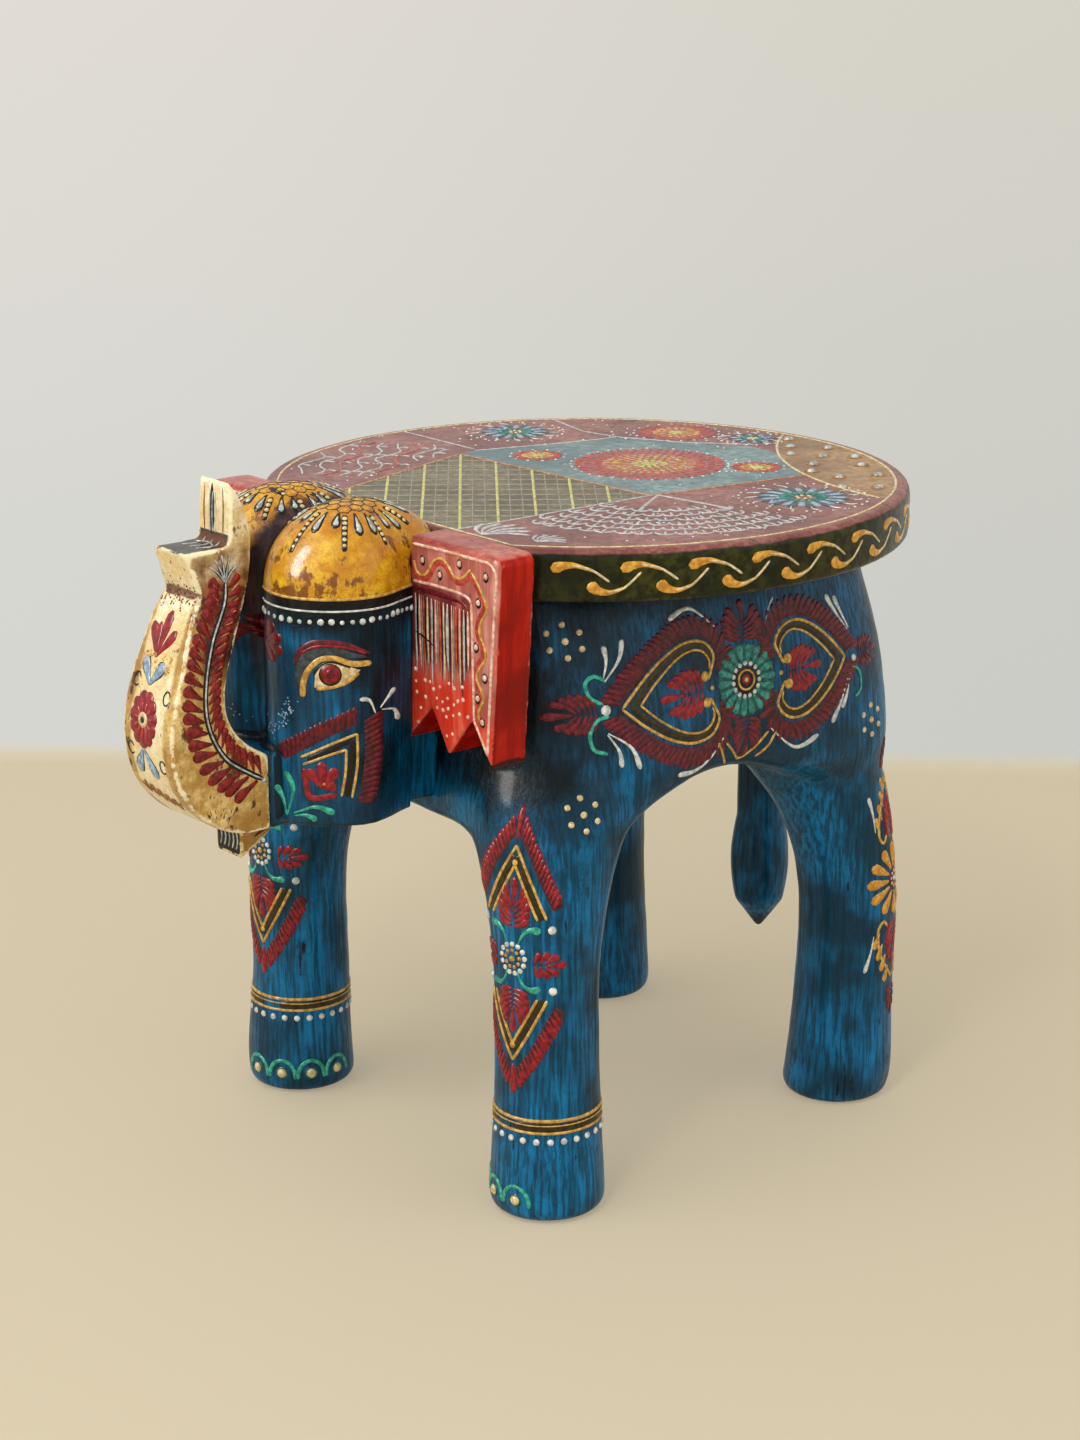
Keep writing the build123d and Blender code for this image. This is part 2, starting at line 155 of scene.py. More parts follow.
class Wiring:
    """Adds nodes to a tree and joins them."""

    def __init__(self, tree: Tree) -> None:
        """Start from an empty tree."""
        self.tree = tree
        tree.nodes.clear()

    def add(self, kind: str, sources: dict | None = None, **settings: object) -> bpy.types.Node:
        """Add a node and feed its inputs.

        Args:
            kind: The node's type name.
            sources: Constants or sockets by the input's name or number.
            settings: Attributes of the node.

        Returns:
            The new node.
        """
        node = self.tree.nodes.new(kind)
        for name, value in settings.items():
            setattr(node, name, value)
        for label, source in (sources or {}).items():
            self.feed(live(node.inputs, label), source)
        return node

    def feed(self, socket: Socket, source: object) -> None:
        """Give a socket either a constant or another node's output.

        Args:
            socket: The input.
            source: The constant or output.
        """
        if isinstance(source, Socket):
            self.tree.links.new(source, socket)
        else:
            socket.default_value = source

    def math(self, operation: str, first: object, second: object = 0.0, clamp: bool = False) -> Socket:
        """Combine two values, kept within 0 and 1 where `clamp` is set."""
        return self.add("ShaderNodeMath", {0: first, 1: second}, operation=operation, use_clamp=clamp).outputs[0]

    def plus(self, first: object, second: object) -> Socket:
        """Add two values."""
        return self.math("ADD", first, second)

    def minus(self, first: object, second: object, clamp: bool = False) -> Socket:
        """Take one value from another."""
        return self.math("SUBTRACT", first, second, clamp)

    def times(self, first: object, second: object) -> Socket:
        """Multiply two values."""
        return self.math("MULTIPLY", first, second)

    def vector(self, operation: str, first: object, second: object) -> Socket:
        """Combine two vectors."""
        return self.add("ShaderNodeVectorMath", {0: first, 1: second}, operation=operation).outputs[0]

    def scaled(self, vector: object, factor: object) -> Socket:
        """Lengthen a vector."""
        return self.add("ShaderNodeVectorMath", {0: vector, "Scale": factor}, operation="SCALE").outputs[0]

    def split(self, vector: Socket) -> Sockets:
        """Part a vector into its three values."""
        return self.add("ShaderNodeSeparateXYZ", {0: vector}).outputs

    def ramp(self, value: object, low: float, high: float) -> Socket:
        """Map a value so that low gives 0 and high gives 1, smoothly."""
        sources = dict(enumerate((value, low, high, 0.0, 1.0)))
        return self.add("ShaderNodeMapRange", sources, interpolation_type="SMOOTHSTEP").outputs[0]

    def mix(self, share: object, first: object, second: object) -> Socket:
        """Blend two colours by the second one's share."""
        sources = {0: share, 6: first, 7: second}
        return self.add("ShaderNodeMix", sources, data_type="RGBA", clamp_factor=True).outputs[2]

    def noise(self, vector: object, scale: object, detail: float = 3.0, roughness: float = 0.55) -> Socket:
        """Add a noise texture and return its value."""
        sources = {"Vector": vector, "Scale": scale, "Detail": detail, "Roughness": roughness}
        return self.add("ShaderNodeTexNoise", sources).outputs["Fac"]

    def wander(self, vector: Socket, grain: float, reach: float) -> Socket:
        """Noise that strays up to `reach` either side of nothing."""
        return self.times(self.minus(self.noise(vector, grain), 0.5), 2 * reach)

    def bump(self, height: object, strength: float, distance: float, under: dict | None = None) -> Socket:
        """Turn a height into a normal, over the one in `under` where it is given."""
        sources = {"Height": height, "Strength": strength, "Distance": distance, **(under or {})}
        return self.add("ShaderNodeBump", sources).outputs[0]

    def group(self, tree: Tree, **values: object) -> Sockets:
        """Place a shared effect with its own values and return its outputs."""
        return self.add("ShaderNodeGroup", values, node_tree=tree).outputs

    def stored(self, name: str, kind: str = "FLOAT") -> Socket:
        """Read what is stored on a mesh's points."""
        node = self.add("GeometryNodeInputNamedAttribute", {"Name": name}, data_type=kind)
        return live(node.outputs, "Attribute")


class Surface(Wiring):
    """The wiring of a new material and its object coordinates."""

    coat_roughness = 0.16

    def __init__(self, name: str) -> None:
        """Open the material.

        Args:
            name: The material's name.
        """
        self.material = bpy.data.materials.new(name)
        self.material.use_nodes = True
        super().__init__(self.material.node_tree)
        self.spot = self.add("ShaderNodeTexCoord").outputs["Object"]

    def varnish(self, colour: Socket, rough: Socket, normal: Socket, specular: float, gloss: object) -> None:
        """Close the material with one varnished shader.

        Args:
            colour: The paint's colour.
            rough: Its roughness.
            normal: Its relief.
            specular: How much the paint itself mirrors.
            gloss: Strength of the varnish.
        """
        sources = {"Base Color": colour, "Roughness": rough, "Normal": normal, "Specular IOR Level": specular}
        sources |= {"Coat Weight": gloss, "Coat Roughness": self.coat_roughness}
        shader = self.add("ShaderNodeBsdfPrincipled", sources)
        self.add("ShaderNodeOutputMaterial", {0: shader.outputs[0]})


def open_tree(name: str, kind: str, inputs: dict[str, str | float], outputs: Iterable[str]) -> tuple:
    """Start a node group with named sockets.

    Args:
        name: The group's name.
        kind: Shader or Geometry.
        inputs: By name, a socket's type, or a number's starting value.
        outputs: Names of the outputs: numbers in a shader group, else geometry.

    Returns:
        The wiring, the input sockets and the output sockets.
    """
    tree = bpy.data.node_groups.new(name, f"{kind}NodeTree")
    for label, value in inputs.items():
        sort = value if isinstance(value, str) else "Float"
        socket = tree.interface.new_socket(label, in_out="INPUT", socket_type=f"NodeSocket{sort}")
        if not isinstance(value, str):
            socket.default_value = value
    sort = "Float" if kind == "Shader" else "Geometry"
    for label in outputs:
        tree.interface.new_socket(label, in_out="OUTPUT", socket_type=f"NodeSocket{sort}")
    wires = Wiring(tree)
    return wires, wires.add("NodeGroupInput").outputs, wires.add("NodeGroupOutput").inputs


class Effects:
    """Shared surface effects, each built once as a shader group."""

    def __init__(self) -> None:
        """Build the groups."""
        self.brushwork = self._brushwork()
        self.rubbing = self._rubbing()
        self.craquelure = self._craquelure()
        self.handling = self._handling()

    @staticmethod
    def _brushwork() -> Tree:
        """Long brush marks with broad uneven patches and fine grain.

        Returns:
            The group.
        """
        inputs = {"Vector": "Vector", "Along": "Vector", "Scale": "Float"}
        wires, given, result = open_tree("brushwork", "Shader", inputs, ("Streaks", "Patches", "Grain"))
        sway, fineness = (0.0016, 0.0016, 0.0), 3.1
        shift = wires.scaled(sway, wires.noise(given["Vector"], 60.0, 2.0))
        moved = wires.vector("ADD", wires.vector("MULTIPLY", given["Vector"], given["Along"]), shift)
        streaks = wires.noise(moved, given["Scale"], 4.0, 0.62)
        patches = wires.noise(given["Vector"], 24.0, 3.0, 0.6)
        wires.feed(result["Streaks"], wires.ramp(streaks, 0.32, 0.68))
        wires.feed(result["Patches"], wires.ramp(patches, 0.35, 0.66))
        wires.feed(result["Grain"], wires.noise(moved, wires.times(given["Scale"], fineness), 2.0))
        return wires.tree

    @staticmethod
    def _rubbing() -> Tree:
        """Where the top coat is rubbed through, as a mask.

        Returns:
            The group.
        """
        inputs = {"Vector": "Vector", "Streaks": "Float", "Coverage": "Float", "Scale": "Float"}
        wires, given, result = open_tree("rubbing", "Shader", inputs, ("Mask",))
        upright, broad_share, streak_share = (1.0, 1.0, 0.45), 0.78, 0.16
        broad = wires.noise(wires.vector("MULTIPLY", given["Vector"], upright), given["Scale"], 7.0, 0.7)
        torn = wires.plus(wires.times(broad, broad_share), wires.times(given["Streaks"], streak_share))
        level = wires.minus(0.82, wires.times(given["Coverage"], 0.5))
        wires.feed(result["Mask"], wires.ramp(wires.minus(torn, level), -0.02, 0.05))
        return wires.tree

    @staticmethod
    def _craquelure() -> Tree:
        """Fine age cracks in the varnish, as a mask.

        Returns:
            The group.
        """
        inputs = {"Vector": "Vector", "Scale": "Float", "Width": "Float"}
        wires, given, result = open_tree("craquelure", "Shader", inputs, ("Mask",))
        sources = {"Vector": given["Vector"], "Scale": given["Scale"]}
        cells = wires.add("ShaderNodeTexVoronoi", sources, feature="DISTANCE_TO_EDGE").outputs["Distance"]
        line = wires.math("DIVIDE", cells, given["Width"], clamp=True)
        wires.feed(result["Mask"], wires.minus(1.0, line))
        return wires.tree

    @staticmethod
    def _handling() -> Tree:
        """Masks of the edges, which take the paint's edge tone, and of the hollows, which are darkened.

        Returns:
            The group.
        """
        inputs = {"Vector": "Vector", "Edge": "Float", "Hollow": "Float", "Amount": "Float"}
        wires, given, result = open_tree("handling", "Shader", inputs, ("Worn", "Grime"))
        edge, hollow = given["Edge"], given["Hollow"]
        coarse = wires.minus(wires.noise(given["Vector"], 110.0, 4.0, 0.65), 0.5)
        fine = wires.minus(wires.noise(given["Vector"], 520.0, 3.0, 0.6), 0.5)
        ragged = wires.plus(wires.times(coarse, 1.5), wires.times(fine, 0.9))
        reach = wires.plus(wires.times(edge, given["Amount"]), ragged)
        near = wires.ramp(edge, 0.08, 0.3)
        wires.feed(result["Worn"], wires.times(wires.ramp(reach, 0.42, 0.7), near))
        # Darkening in the hollows, found from how the carved mesh bends.
        depth = wires.ramp(wires.plus(hollow, wires.times(coarse, 0.5)), 0.05, 0.75)
        wires.feed(result["Grime"], wires.times(depth, wires.ramp(hollow, 0.0, 0.2)))
        return wires.tree


# --------------------------------------------------------------------- the masks
class Axis(IntEnum):
    """The frame's axes."""

    X = 0
    Y = 1
    Z = 2


class Mask:
    """Where on a piece a coat lies; lengths are millimetres of the frame."""

    blur = 0.3

    def wire(self, wires: Surface) -> Socket:
        """Wire the mask into a material."""
        raise NotImplementedError

    def __and__(self, other: Mask) -> Both:
        """The part that both masks cover."""
        return Both(self, other)


@dataclass(frozen=True)
class Both(Mask):
    """The part that two masks share."""

    first: Mask
    second: Mask

    def wire(self, wires: Surface) -> Socket:
        """Wire the product of the masks."""
        return wires.times(self.first.wire(wires), self.second.wire(wires))


@dataclass(frozen=True)
class Between(Mask):
    """The part between two planes.

    `blur` is the width of its soft edge, `ragged` how far the edge wanders and
    `grain` how finely; `folded` makes both sides of the middle plane count alike.
    """

    axis: Axis
    low: float
    high: float
    blur: float = 0.4
    ragged: float = 0.8
    grain: float = 110.0
    folded: bool = False

    def wire(self, wires: Surface) -> Socket:
        """Wire the mask into a material.

        Args:
            wires: The material's wiring.

        Returns:
            The mask.
        """
        along = wires.split(wires.spot)[self.axis]
        if self.folded:
            along = wires.math("ABSOLUTE", along)
        along = wires.plus(along, wires.wander(wires.spot, self.grain, self.ragged * MM))
        rise, fall = (
            wires.ramp(along, (bound - self.blur) * MM, (bound + self.blur) * MM) for bound in (self.low, self.high)
        )
        return wires.minus(rise, fall, clamp=True)


@dataclass(frozen=True)
class Inside(Mask):
    """A convex field seen from above; its corners run anticlockwise."""

    corners: Path
    ragged: float = 0.6
    grain: float = 160.0

    def wire(self, wires: Surface) -> Socket:
        """Wire the least distance to the field's sides as a mask.

        Args:
            wires: The material's wiring.

        Returns:
            The mask.
        """
        spot = wires.split(wires.spot)
        stray = wires.wander(wires.spot, self.grain, self.ragged * MM)
        least: object = 1.0
        for (x0, y0), (x1, y1) in zip(self.corners, (*self.corners[1:], self.corners[0])):
            size = math.hypot(x1 - x0, y1 - y0)
            nx, ny = (y0 - y1) / size, (x1 - x0) / size
            gap = wires.plus(wires.times(spot[0], nx), wires.times(spot[1], ny))
            least = wires.math("MINIMUM", least, wires.minus(gap, (nx * x0 + ny * y0) * MM))
        return wires.ramp(wires.plus(least, stray), -self.blur * MM, self.blur * MM)


@dataclass(frozen=True)
class Within(Mask):
    """A disc seen from above."""

    centre: Point
    radius: float

    def wire(self, wires: Surface) -> Socket:
        """Wire the distance from the middle as a mask.

        Args:
            wires: The material's wiring.

        Returns:
            The mask.
        """
        middle = (self.centre[0] * MM, self.centre[1] * MM, 0.0)
        flat = wires.vector("MULTIPLY", wires.spot, (1.0, 1.0, 0.0))
        reach = wires.add("ShaderNodeVectorMath", {0: flat, 1: middle}, operation="DISTANCE").outputs["Value"]
        return wires.ramp(wires.minus(self.radius * MM, reach), -self.blur * MM, self.blur * MM)


# ---------------------------------------------------------------------- finishes
class Pull(Enum):
    """Which way the painter pulled the brush, as a squeeze of the noise."""

    UPRIGHT = (1.0, 1.0, 0.06)
    EVEN = (1.0, 1.0, 1.0)


@dataclass(frozen=True)
class BasePaint:
    """A broad coat of paint on carved wood, brushed, rubbed and varnished."""

    shade: Colour
    body: Colour
    light: Colour
    bare: Colour
    rubbed: float = 0.3
    rub_scale: float = 90.0
    pull: Pull = Pull.UPRIGHT
    brush_scale: float = 330.0
    roughness: float = 0.42
    gloss: float = 0.5
    relief: float = 0.5
    crack: float = 0.0
    # Colour the edges take: paint worn through, and on the trunk's cream partly a painted highlight.
    edge_tone: Colour | None = None
    edge_amount: float = 0.9
    # Colour that the hollows are darkened towards.
    hollow_tone: Colour = tint(12, 12, 12)


@dataclass(frozen=True)
class RaisedPaint:
    """Thick paint trailed onto the ground coat."""

    name: str
    body: Colour
    shade: Colour
    roughness: float = 0.38
    gloss: float = 0.4


@dataclass
class Coat:
    """The sockets of a coat that is being mixed."""

    colour: Socket
    rub: Socket
    streaks: Socket
    grain: Socket
    gloss: object


class PaintShop:
    """Mixes materials from finishes and the shared effects."""

    ground_specular, raised_specular = 0.1, 0.15
    crack_scale, crack_width = 230.0, 0.05
    chisel_depth, brush_depth, pit_depth = 0.0022, 0.0006, 0.0004

    def __init__(self) -> None:
        """Build the shared effects."""
        self.effects = Effects()
        self.made: dict[str, Material] = {}

    def coat(self, wires: Surface, paint: BasePaint) -> Coat:
        """Lay one coat.

        Args:
            wires: The material's wiring.
            paint: The finish.

        Returns:
            The coat's sockets.
        """
        marks = wires.group(
            self.effects.brushwork, Vector=wires.spot, Along=paint.pull.value, Scale=paint.brush_scale
        )
        streaks, patches = marks["Streaks"], marks["Patches"]
        drift = wires.plus(wires.times(streaks, 0.36), wires.times(patches, 0.74))
        tone = wires.mix(wires.minus(drift, 0.05, clamp=True), paint.shade, paint.body)
        tone = wires.mix(wires.times(patches, wires.ramp(streaks, 0.1, 1.0)), tone, paint.light)
        amount = {"Coverage": paint.rubbed, "Scale": paint.rub_scale}
        rub = wires.group(self.effects.rubbing, Vector=wires.spot, Streaks=streaks, **amount)["Mask"]
        return Coat(wires.mix(rub, tone, paint.bare), rub, streaks, marks["Grain"], paint.gloss)

    def finish(self, wires: Surface, coat: Coat, paint: BasePaint) -> None:
        """Crack a coat where set, colour its edges, darken its hollows, give it relief and varnish it.

        Args:
            wires: The material's wiring.
            coat: The mixed coat.
            paint: The finish of the ground, whose edge tone, edge amount and relief are used.
        """
        height = wires.plus(wires.times(coat.streaks, 0.5), wires.times(coat.grain, 0.35))
        height = wires.minus(height, wires.times(coat.rub, 0.45))
        colour, effects = coat.colour, self.effects
        if paint.crack:
            sizes = {"Scale": self.crack_scale, "Width": self.crack_width}
            lines = wires.group(effects.craquelure, Vector=wires.spot, **sizes)["Mask"]
            height = wires.minus(height, wires.times(lines, paint.crack))
            colour = wires.mix(wires.times(lines, paint.crack), colour, paint.bare)
        edge, hollow = (
            wires.add("ShaderNodeAttribute", attribute_name=name).outputs["Fac"] for name in ("edge", "hollow")
        )
        used = wires.group(effects.handling, Vector=wires.spot, Edge=edge, Hollow=hollow, Amount=paint.edge_amount)
        colour = wires.mix(wires.times(used["Worn"], 0.85), colour, paint.edge_tone or paint.bare)
        colour = wires.mix(wires.times(used["Grime"], 0.88), colour, paint.hollow_tone)
        height = wires.minus(height, wires.times(used["Worn"], 0.5))
        chisel = wires.bump(wires.noise(wires.spot, 55.0, 1.0, 0.4), 0.5, self.chisel_depth)
        normal = wires.bump(height, paint.relief, self.brush_depth, {"Normal": chisel})
        rough = wires.plus(paint.roughness, wires.times(coat.rub, 0.22))
        rough = wires.minus(rough, wires.times(coat.streaks, 0.08))
        wires.varnish(colour, rough, normal, self.ground_specular, coat.gloss)

    def zoned(self, name: str, ground: BasePaint, *zones: tuple[BasePaint, Mask]) -> Material:
        """Mix a material with other coats painted over a ground coat in some places.

        Args:
            name: The material's name.
            ground: The coat underneath.
            zones: Further coats, each with its mask.

        Returns:
            The material.
        """
        wires = Surface(name)
        under = self.coat(wires, ground)
        for paint, mask in zones:
            over, share = self.coat(wires, paint), mask.wire(wires)
            under.colour = wires.mix(share, under.colour, over.colour)
            under.rub, under.gloss = (
                wires.plus(wires.times(wires.minus(1.0, share), low), wires.times(share, high))
                for low, high in ((under.rub, over.rub), (under.gloss, over.gloss))
            )
        self.finish(wires, under, ground)
        return wires.material

    def raised(self, paint: RaisedPaint) -> Material:
        """Mix a raised paint, with uneven tone and small pits, or find it made.

        Args:
            paint: The finish.

        Returns:
            The material.
        """
        if paint.name not in self.made:
            wires = Surface(paint.name)
            tone = wires.ramp(wires.noise(wires.spot, 420.0, 4.0, 0.6), 0.36, 0.66)
            colour = wires.mix(tone, paint.shade, paint.body)
            pits = wires.bump(wires.noise(wires.spot, 900.0, 2.0), 0.35, self.pit_depth)
            rough = wires.plus(wires.times(tone, -0.12), paint.roughness + 0.1)
            wires.varnish(colour, rough, pits, self.raised_specular, paint.gloss)
            self.made[paint.name] = wires.material
        return self.made[paint.name]


WORN_DARK = tint(9, 22, 26)
WORN_BLUE = tint(20, 40, 46)
EVEN = Pull.EVEN
BLUE = BasePaint(
    tint(2, 46, 65), tint(2, 80, 116), tint(8, 122, 180), WORN_DARK, 0.44, 46.0, brush_scale=560.0, gloss=0.22,
    relief=0.6, crack=0.25, edge_tone=WORN_BLUE, edge_amount=0.8,
)
# Near-black blue: painted shade on the body and on the head beside the ears, also the tail's tip and a band under the
# brow.
DEEP_BLUE = BasePaint(
    tint(2, 14, 20), tint(3, 24, 34), tint(5, 46, 66), WORN_DARK, 0.4, 52.0, brush_scale=560.0, gloss=0.16
)
# Darker blue of the torso under the seat, partly painted shade.
TORSO_BLUE = BasePaint(
    tint(2, 30, 44), tint(2, 62, 92), tint(4, 100, 150), WORN_DARK, 0.42, 50.0, brush_scale=560.0, gloss=0.3
)
HEAD_BLUE = BasePaint(
    tint(2, 48, 72), tint(3, 82, 122), tint(8, 116, 170), WORN_DARK, 0.32, 56.0, brush_scale=560.0, gloss=0.3,
    relief=0.6, crack=0.25, edge_tone=WORN_BLUE, edge_amount=0.8,
)
SEAT_ROSE = BasePaint(
    tint(112, 58, 58), tint(140, 80, 76), tint(160, 108, 102), tint(92, 76, 72), 0.5, 60.0, EVEN, 240.0, 0.4,
    0.25, 0.3, 0.2, tint(168, 104, 86),
)
SEAT_BLUE = BasePaint(
    tint(80, 110, 120), tint(108, 138, 144), tint(138, 164, 166), tint(84, 88, 88), 0.45, 60.0, EVEN, 240.0, 0.4,
    0.25, 0.3,
)
SEAT_OLIVE = BasePaint(
    tint(70, 66, 46), tint(98, 94, 68), tint(122, 118, 92), tint(64, 52, 38), 0.4, 60.0, EVEN, 240.0, 0.4, 0.25, 0.3
)
SEAT_TAN = BasePaint(
    tint(128, 92, 56), tint(162, 122, 80), tint(184, 148, 106), tint(110, 74, 44), 0.4, 60.0, EVEN, 240.0, 0.4,
    0.25, 0.3,
)
OLIVE = BasePaint(
    tint(12, 18, 2), tint(30, 34, 4), tint(58, 60, 14), tint(16, 12, 4), 0.45, 60.0, EVEN, 200.0, 0.36, 0.3, 0.3,
    0.2, tint(84, 60, 40), 0.6,
)
OCHRE = BasePaint(
    tint(184, 116, 0), tint(222, 162, 2), tint(244, 204, 44), tint(132, 72, 12), 0.57, 52.0, EVEN, 150.0, 0.2, 0.75,
    0.3, 0.5, tint(120, 70, 22), 0.6,
)
# Black paint; in the body's nook behind the ears it is painted shade.
SOOT = BasePaint(tint(6, 7, 8), tint(12, 12, 13), tint(30, 28, 26), tint(60, 50, 42), 0.2, 90.0, gloss=0.3)
VALLEY = BasePaint(tint(34, 20, 24), tint(66, 40, 42), tint(104, 70, 64), tint(20, 14, 14), 0.4, 70.0, gloss=0.3)
# Cream; its pale edge tone is partly worn paint and partly a painted highlight along the trunk's arrises.
CREAM = BasePaint(
    tint(230, 206, 148), tint(248, 236, 192), tint(255, 250, 228), tint(136, 84, 34), 0.46, 120.0, EVEN, 220.0, 0.4,
    0.4, 0.5, 0.3, tint(252, 242, 204), 0.66, tint(104, 58, 34),
)
# Tan; on the trunk's sides it is partly painted shade.
TAN = BasePaint(
    tint(166, 122, 54), tint(208, 168, 92), tint(234, 206, 140), tint(86, 46, 18), 0.56, 110.0, EVEN, 220.0, 0.4,
    0.4, 0.5, 0.3, tint(244, 226, 170), 0.6,
)
LEAF_SHADE = BasePaint(
    tint(52, 18, 12), tint(98, 42, 24), tint(160, 98, 52), tint(40, 18, 10), 0.5, 110.0, EVEN, 220.0, gloss=0.3
)
SLATE = BasePaint(
    tint(30, 38, 44), tint(56, 68, 74), tint(100, 112, 114), tint(16, 18, 20), 0.4, 120.0, edge_tone=tint(226, 208, 150)
)
EAR_RED = BasePaint(
    tint(126, 5, 0), tint(168, 14, 0), tint(200, 34, 6), tint(84, 8, 4), 0.34, 56.0, brush_scale=160.0,
    roughness=0.34, gloss=0.16, relief=0.25, edge_tone=tint(206, 92, 76), edge_amount=0.5,
)
EAR_ROSE = BasePaint(
    tint(150, 76, 70), tint(192, 112, 102), tint(222, 158, 146), tint(120, 50, 44), 0.42, 90.0, brush_scale=260.0,
    gloss=0.3, relief=0.4, edge_tone=tint(236, 192, 172),
)
EAR_COMB = BasePaint(
    tint(84, 26, 28), tint(138, 58, 56), tint(186, 100, 92), tint(60, 24, 24), 0.42, 90.0, brush_scale=260.0,
    gloss=0.3, relief=0.4,
)
EAR_SCARLET = BasePaint(
    tint(204, 48, 30), tint(226, 80, 58), tint(240, 132, 106), tint(160, 28, 18), 0.3, 90.0, brush_scale=260.0,
    gloss=0.35, relief=0.3, edge_tone=tint(232, 130, 108),
)
EAR_DUSTY = BasePaint(
    tint(140, 46, 40), tint(176, 78, 68), tint(204, 118, 102), tint(112, 36, 30), 0.42, 90.0, EVEN, 200.0, 0.34, 0.4,
    0.3, edge_tone=tint(218, 136, 118),
)


class Hue(Enum):
    """The ornament's paints."""

    GOLD = RaisedPaint("gold_line", tint(226, 186, 96), tint(170, 122, 44))
    AMBER = RaisedPaint("amber_line", tint(226, 172, 68), tint(184, 124, 34))
    WHITE = RaisedPaint("white_line", tint(236, 238, 234), tint(172, 178, 176))
    CREAM = RaisedPaint("cream_line", tint(236, 220, 176), tint(190, 166, 116))
    CRIMSON = RaisedPaint("crimson", tint(164, 26, 36), tint(108, 12, 22))
    OXBLOOD = RaisedPaint("oxblood", tint(120, 20, 34), tint(70, 11, 20))
    JADE = RaisedPaint("jade", tint(66, 190, 160), tint(24, 126, 110))
    DEEP_JADE = RaisedPaint("deep_jade", tint(24, 104, 92), tint(8, 58, 54))
    SKY = RaisedPaint("sky", tint(168, 190, 212), tint(110, 138, 168))
    MIST = RaisedPaint("mist", tint(206, 208, 208), tint(158, 164, 170))
    OLIVE = RaisedPaint("olive_band", tint(56, 46, 14), tint(28, 22, 6))
    SOOT = RaisedPaint("soot_line", tint(22, 18, 16), tint(10, 8, 8))
    WINE = RaisedPaint("wine_wash", tint(92, 26, 34), tint(50, 16, 24))
    TEAL = RaisedPaint("teal_petal", tint(64, 158, 146), tint(26, 104, 100))
    TAUPE = RaisedPaint("taupe_line", tint(160, 148, 128), tint(128, 118, 96))
    DUSK = RaisedPaint("dusk_wash", tint(168, 92, 86), tint(138, 70, 68))
    PEACH = RaisedPaint("peach_petal", tint(214, 164, 118), tint(170, 112, 74))
    LEMON = RaisedPaint("lemon_line", tint(216, 214, 126), tint(174, 170, 90))
    ROSE = RaisedPaint("rose_line", tint(204, 84, 72), tint(156, 52, 46))
    SLATE = RaisedPaint("slate_line", tint(66, 78, 84), tint(38, 48, 54))
    SILVER = RaisedPaint("silver_line", tint(206, 212, 210), tint(130, 138, 140), 0.24, 0.8)
    BRICK = RaisedPaint("brick_leaf", tint(150, 30, 26), tint(88, 12, 12))
    OCHRE = RaisedPaint("ochre_line", tint(176, 120, 40), tint(120, 76, 22))
    BLUSH = RaisedPaint("blush_dot", tint(246, 212, 192), tint(206, 150, 128))


# ------------------------------------------------------------------------ charts
@dataclass(frozen=True)
class Chart:
    """A sheet before a surface, whose points are thrown along rays; it may be mirrored."""

    mirrored: bool = field(default=False, kw_only=True)

    def ray(self, u: float, v: float) -> tuple[Vector, Vector]:
        """Give the start and direction of a sheet point's ray, unmirrored."""
        raise NotImplementedError

    def place(self, u: float, v: float) -> tuple[Vector, Vector]:
        """Give the start and direction of a sheet point's ray.

        Args:
            u: Place across the sheet, mm.
            v: Place up the sheet, mm.

        Returns:
            The ray's start and its direction.
        """
        start, aim = self.ray(u, v)
        if self.mirrored:
            start.x, aim.x = -start.x, -aim.x
        return start, aim


@dataclass(frozen=True)
class FlatChart(Chart):
    """A flat sheet with parallel rays."""

    origin: Vector
    right: Vector
    up: Vector
    aim: Vector

    @classmethod
    def toward(cls, centre: Vector, azimuth: float, clear: float, mirrored: bool = False) -> FlatChart:
        """Face a point from one side.

        Args:
            centre: The point in frame metres.
            azimuth: Side it is seen from, degrees; 0 is the front, 90 the left.
            clear: How far in front the sheet stands, mm.
            mirrored: Whether to use the other side of the elephant.

        Returns:
            The chart.
        """
        turn = math.radians(azimuth)
        out, right = outward(turn), Vector((math.cos(turn), math.sin(turn), 0.0))
        return cls(centre + out * clear * MM, right, out.cross(right), -out, mirrored=mirrored)

    @classmethod
    def above(cls, place: Place, height: float) -> FlatChart:
        """Look down on the seat's middle from a height in mm."""
        return cls(place.world(0, 0, height), Vector((1, 0, 0)), Vector((0, 1, 0)), Vector((0, 0, -1)))

    def ray(self, u: float, v: float) -> tuple[Vector, Vector]:
        """Give the start and direction of a sheet point's ray, unmirrored."""
        return self.origin + (self.right * u + self.up * v) * MM, self.aim.copy()


@dataclass(frozen=True)
class RoundChart(Chart):
    """A sheet rolled round an upright axis: u runs round it, v is the height."""

    axis: Vector
    radius: float
    bearing: float
    clear: float = 40.0

    def ray(self, u: float, v: float) -> tuple[Vector, Vector]:
        """Give the start and direction of a sheet point's ray, unmirrored.

        Args:
            u: Place round the axis, mm.
            v: Height, mm.

        Returns:
            The ray's start and its direction.
        """
        out = outward(math.radians(self.bearing) + u / self.radius)
        start = Vector((self.axis.x, self.axis.y, 0.0)) + out * (self.radius + self.clear) * MM
        start.z = v * MM
        return start, -out


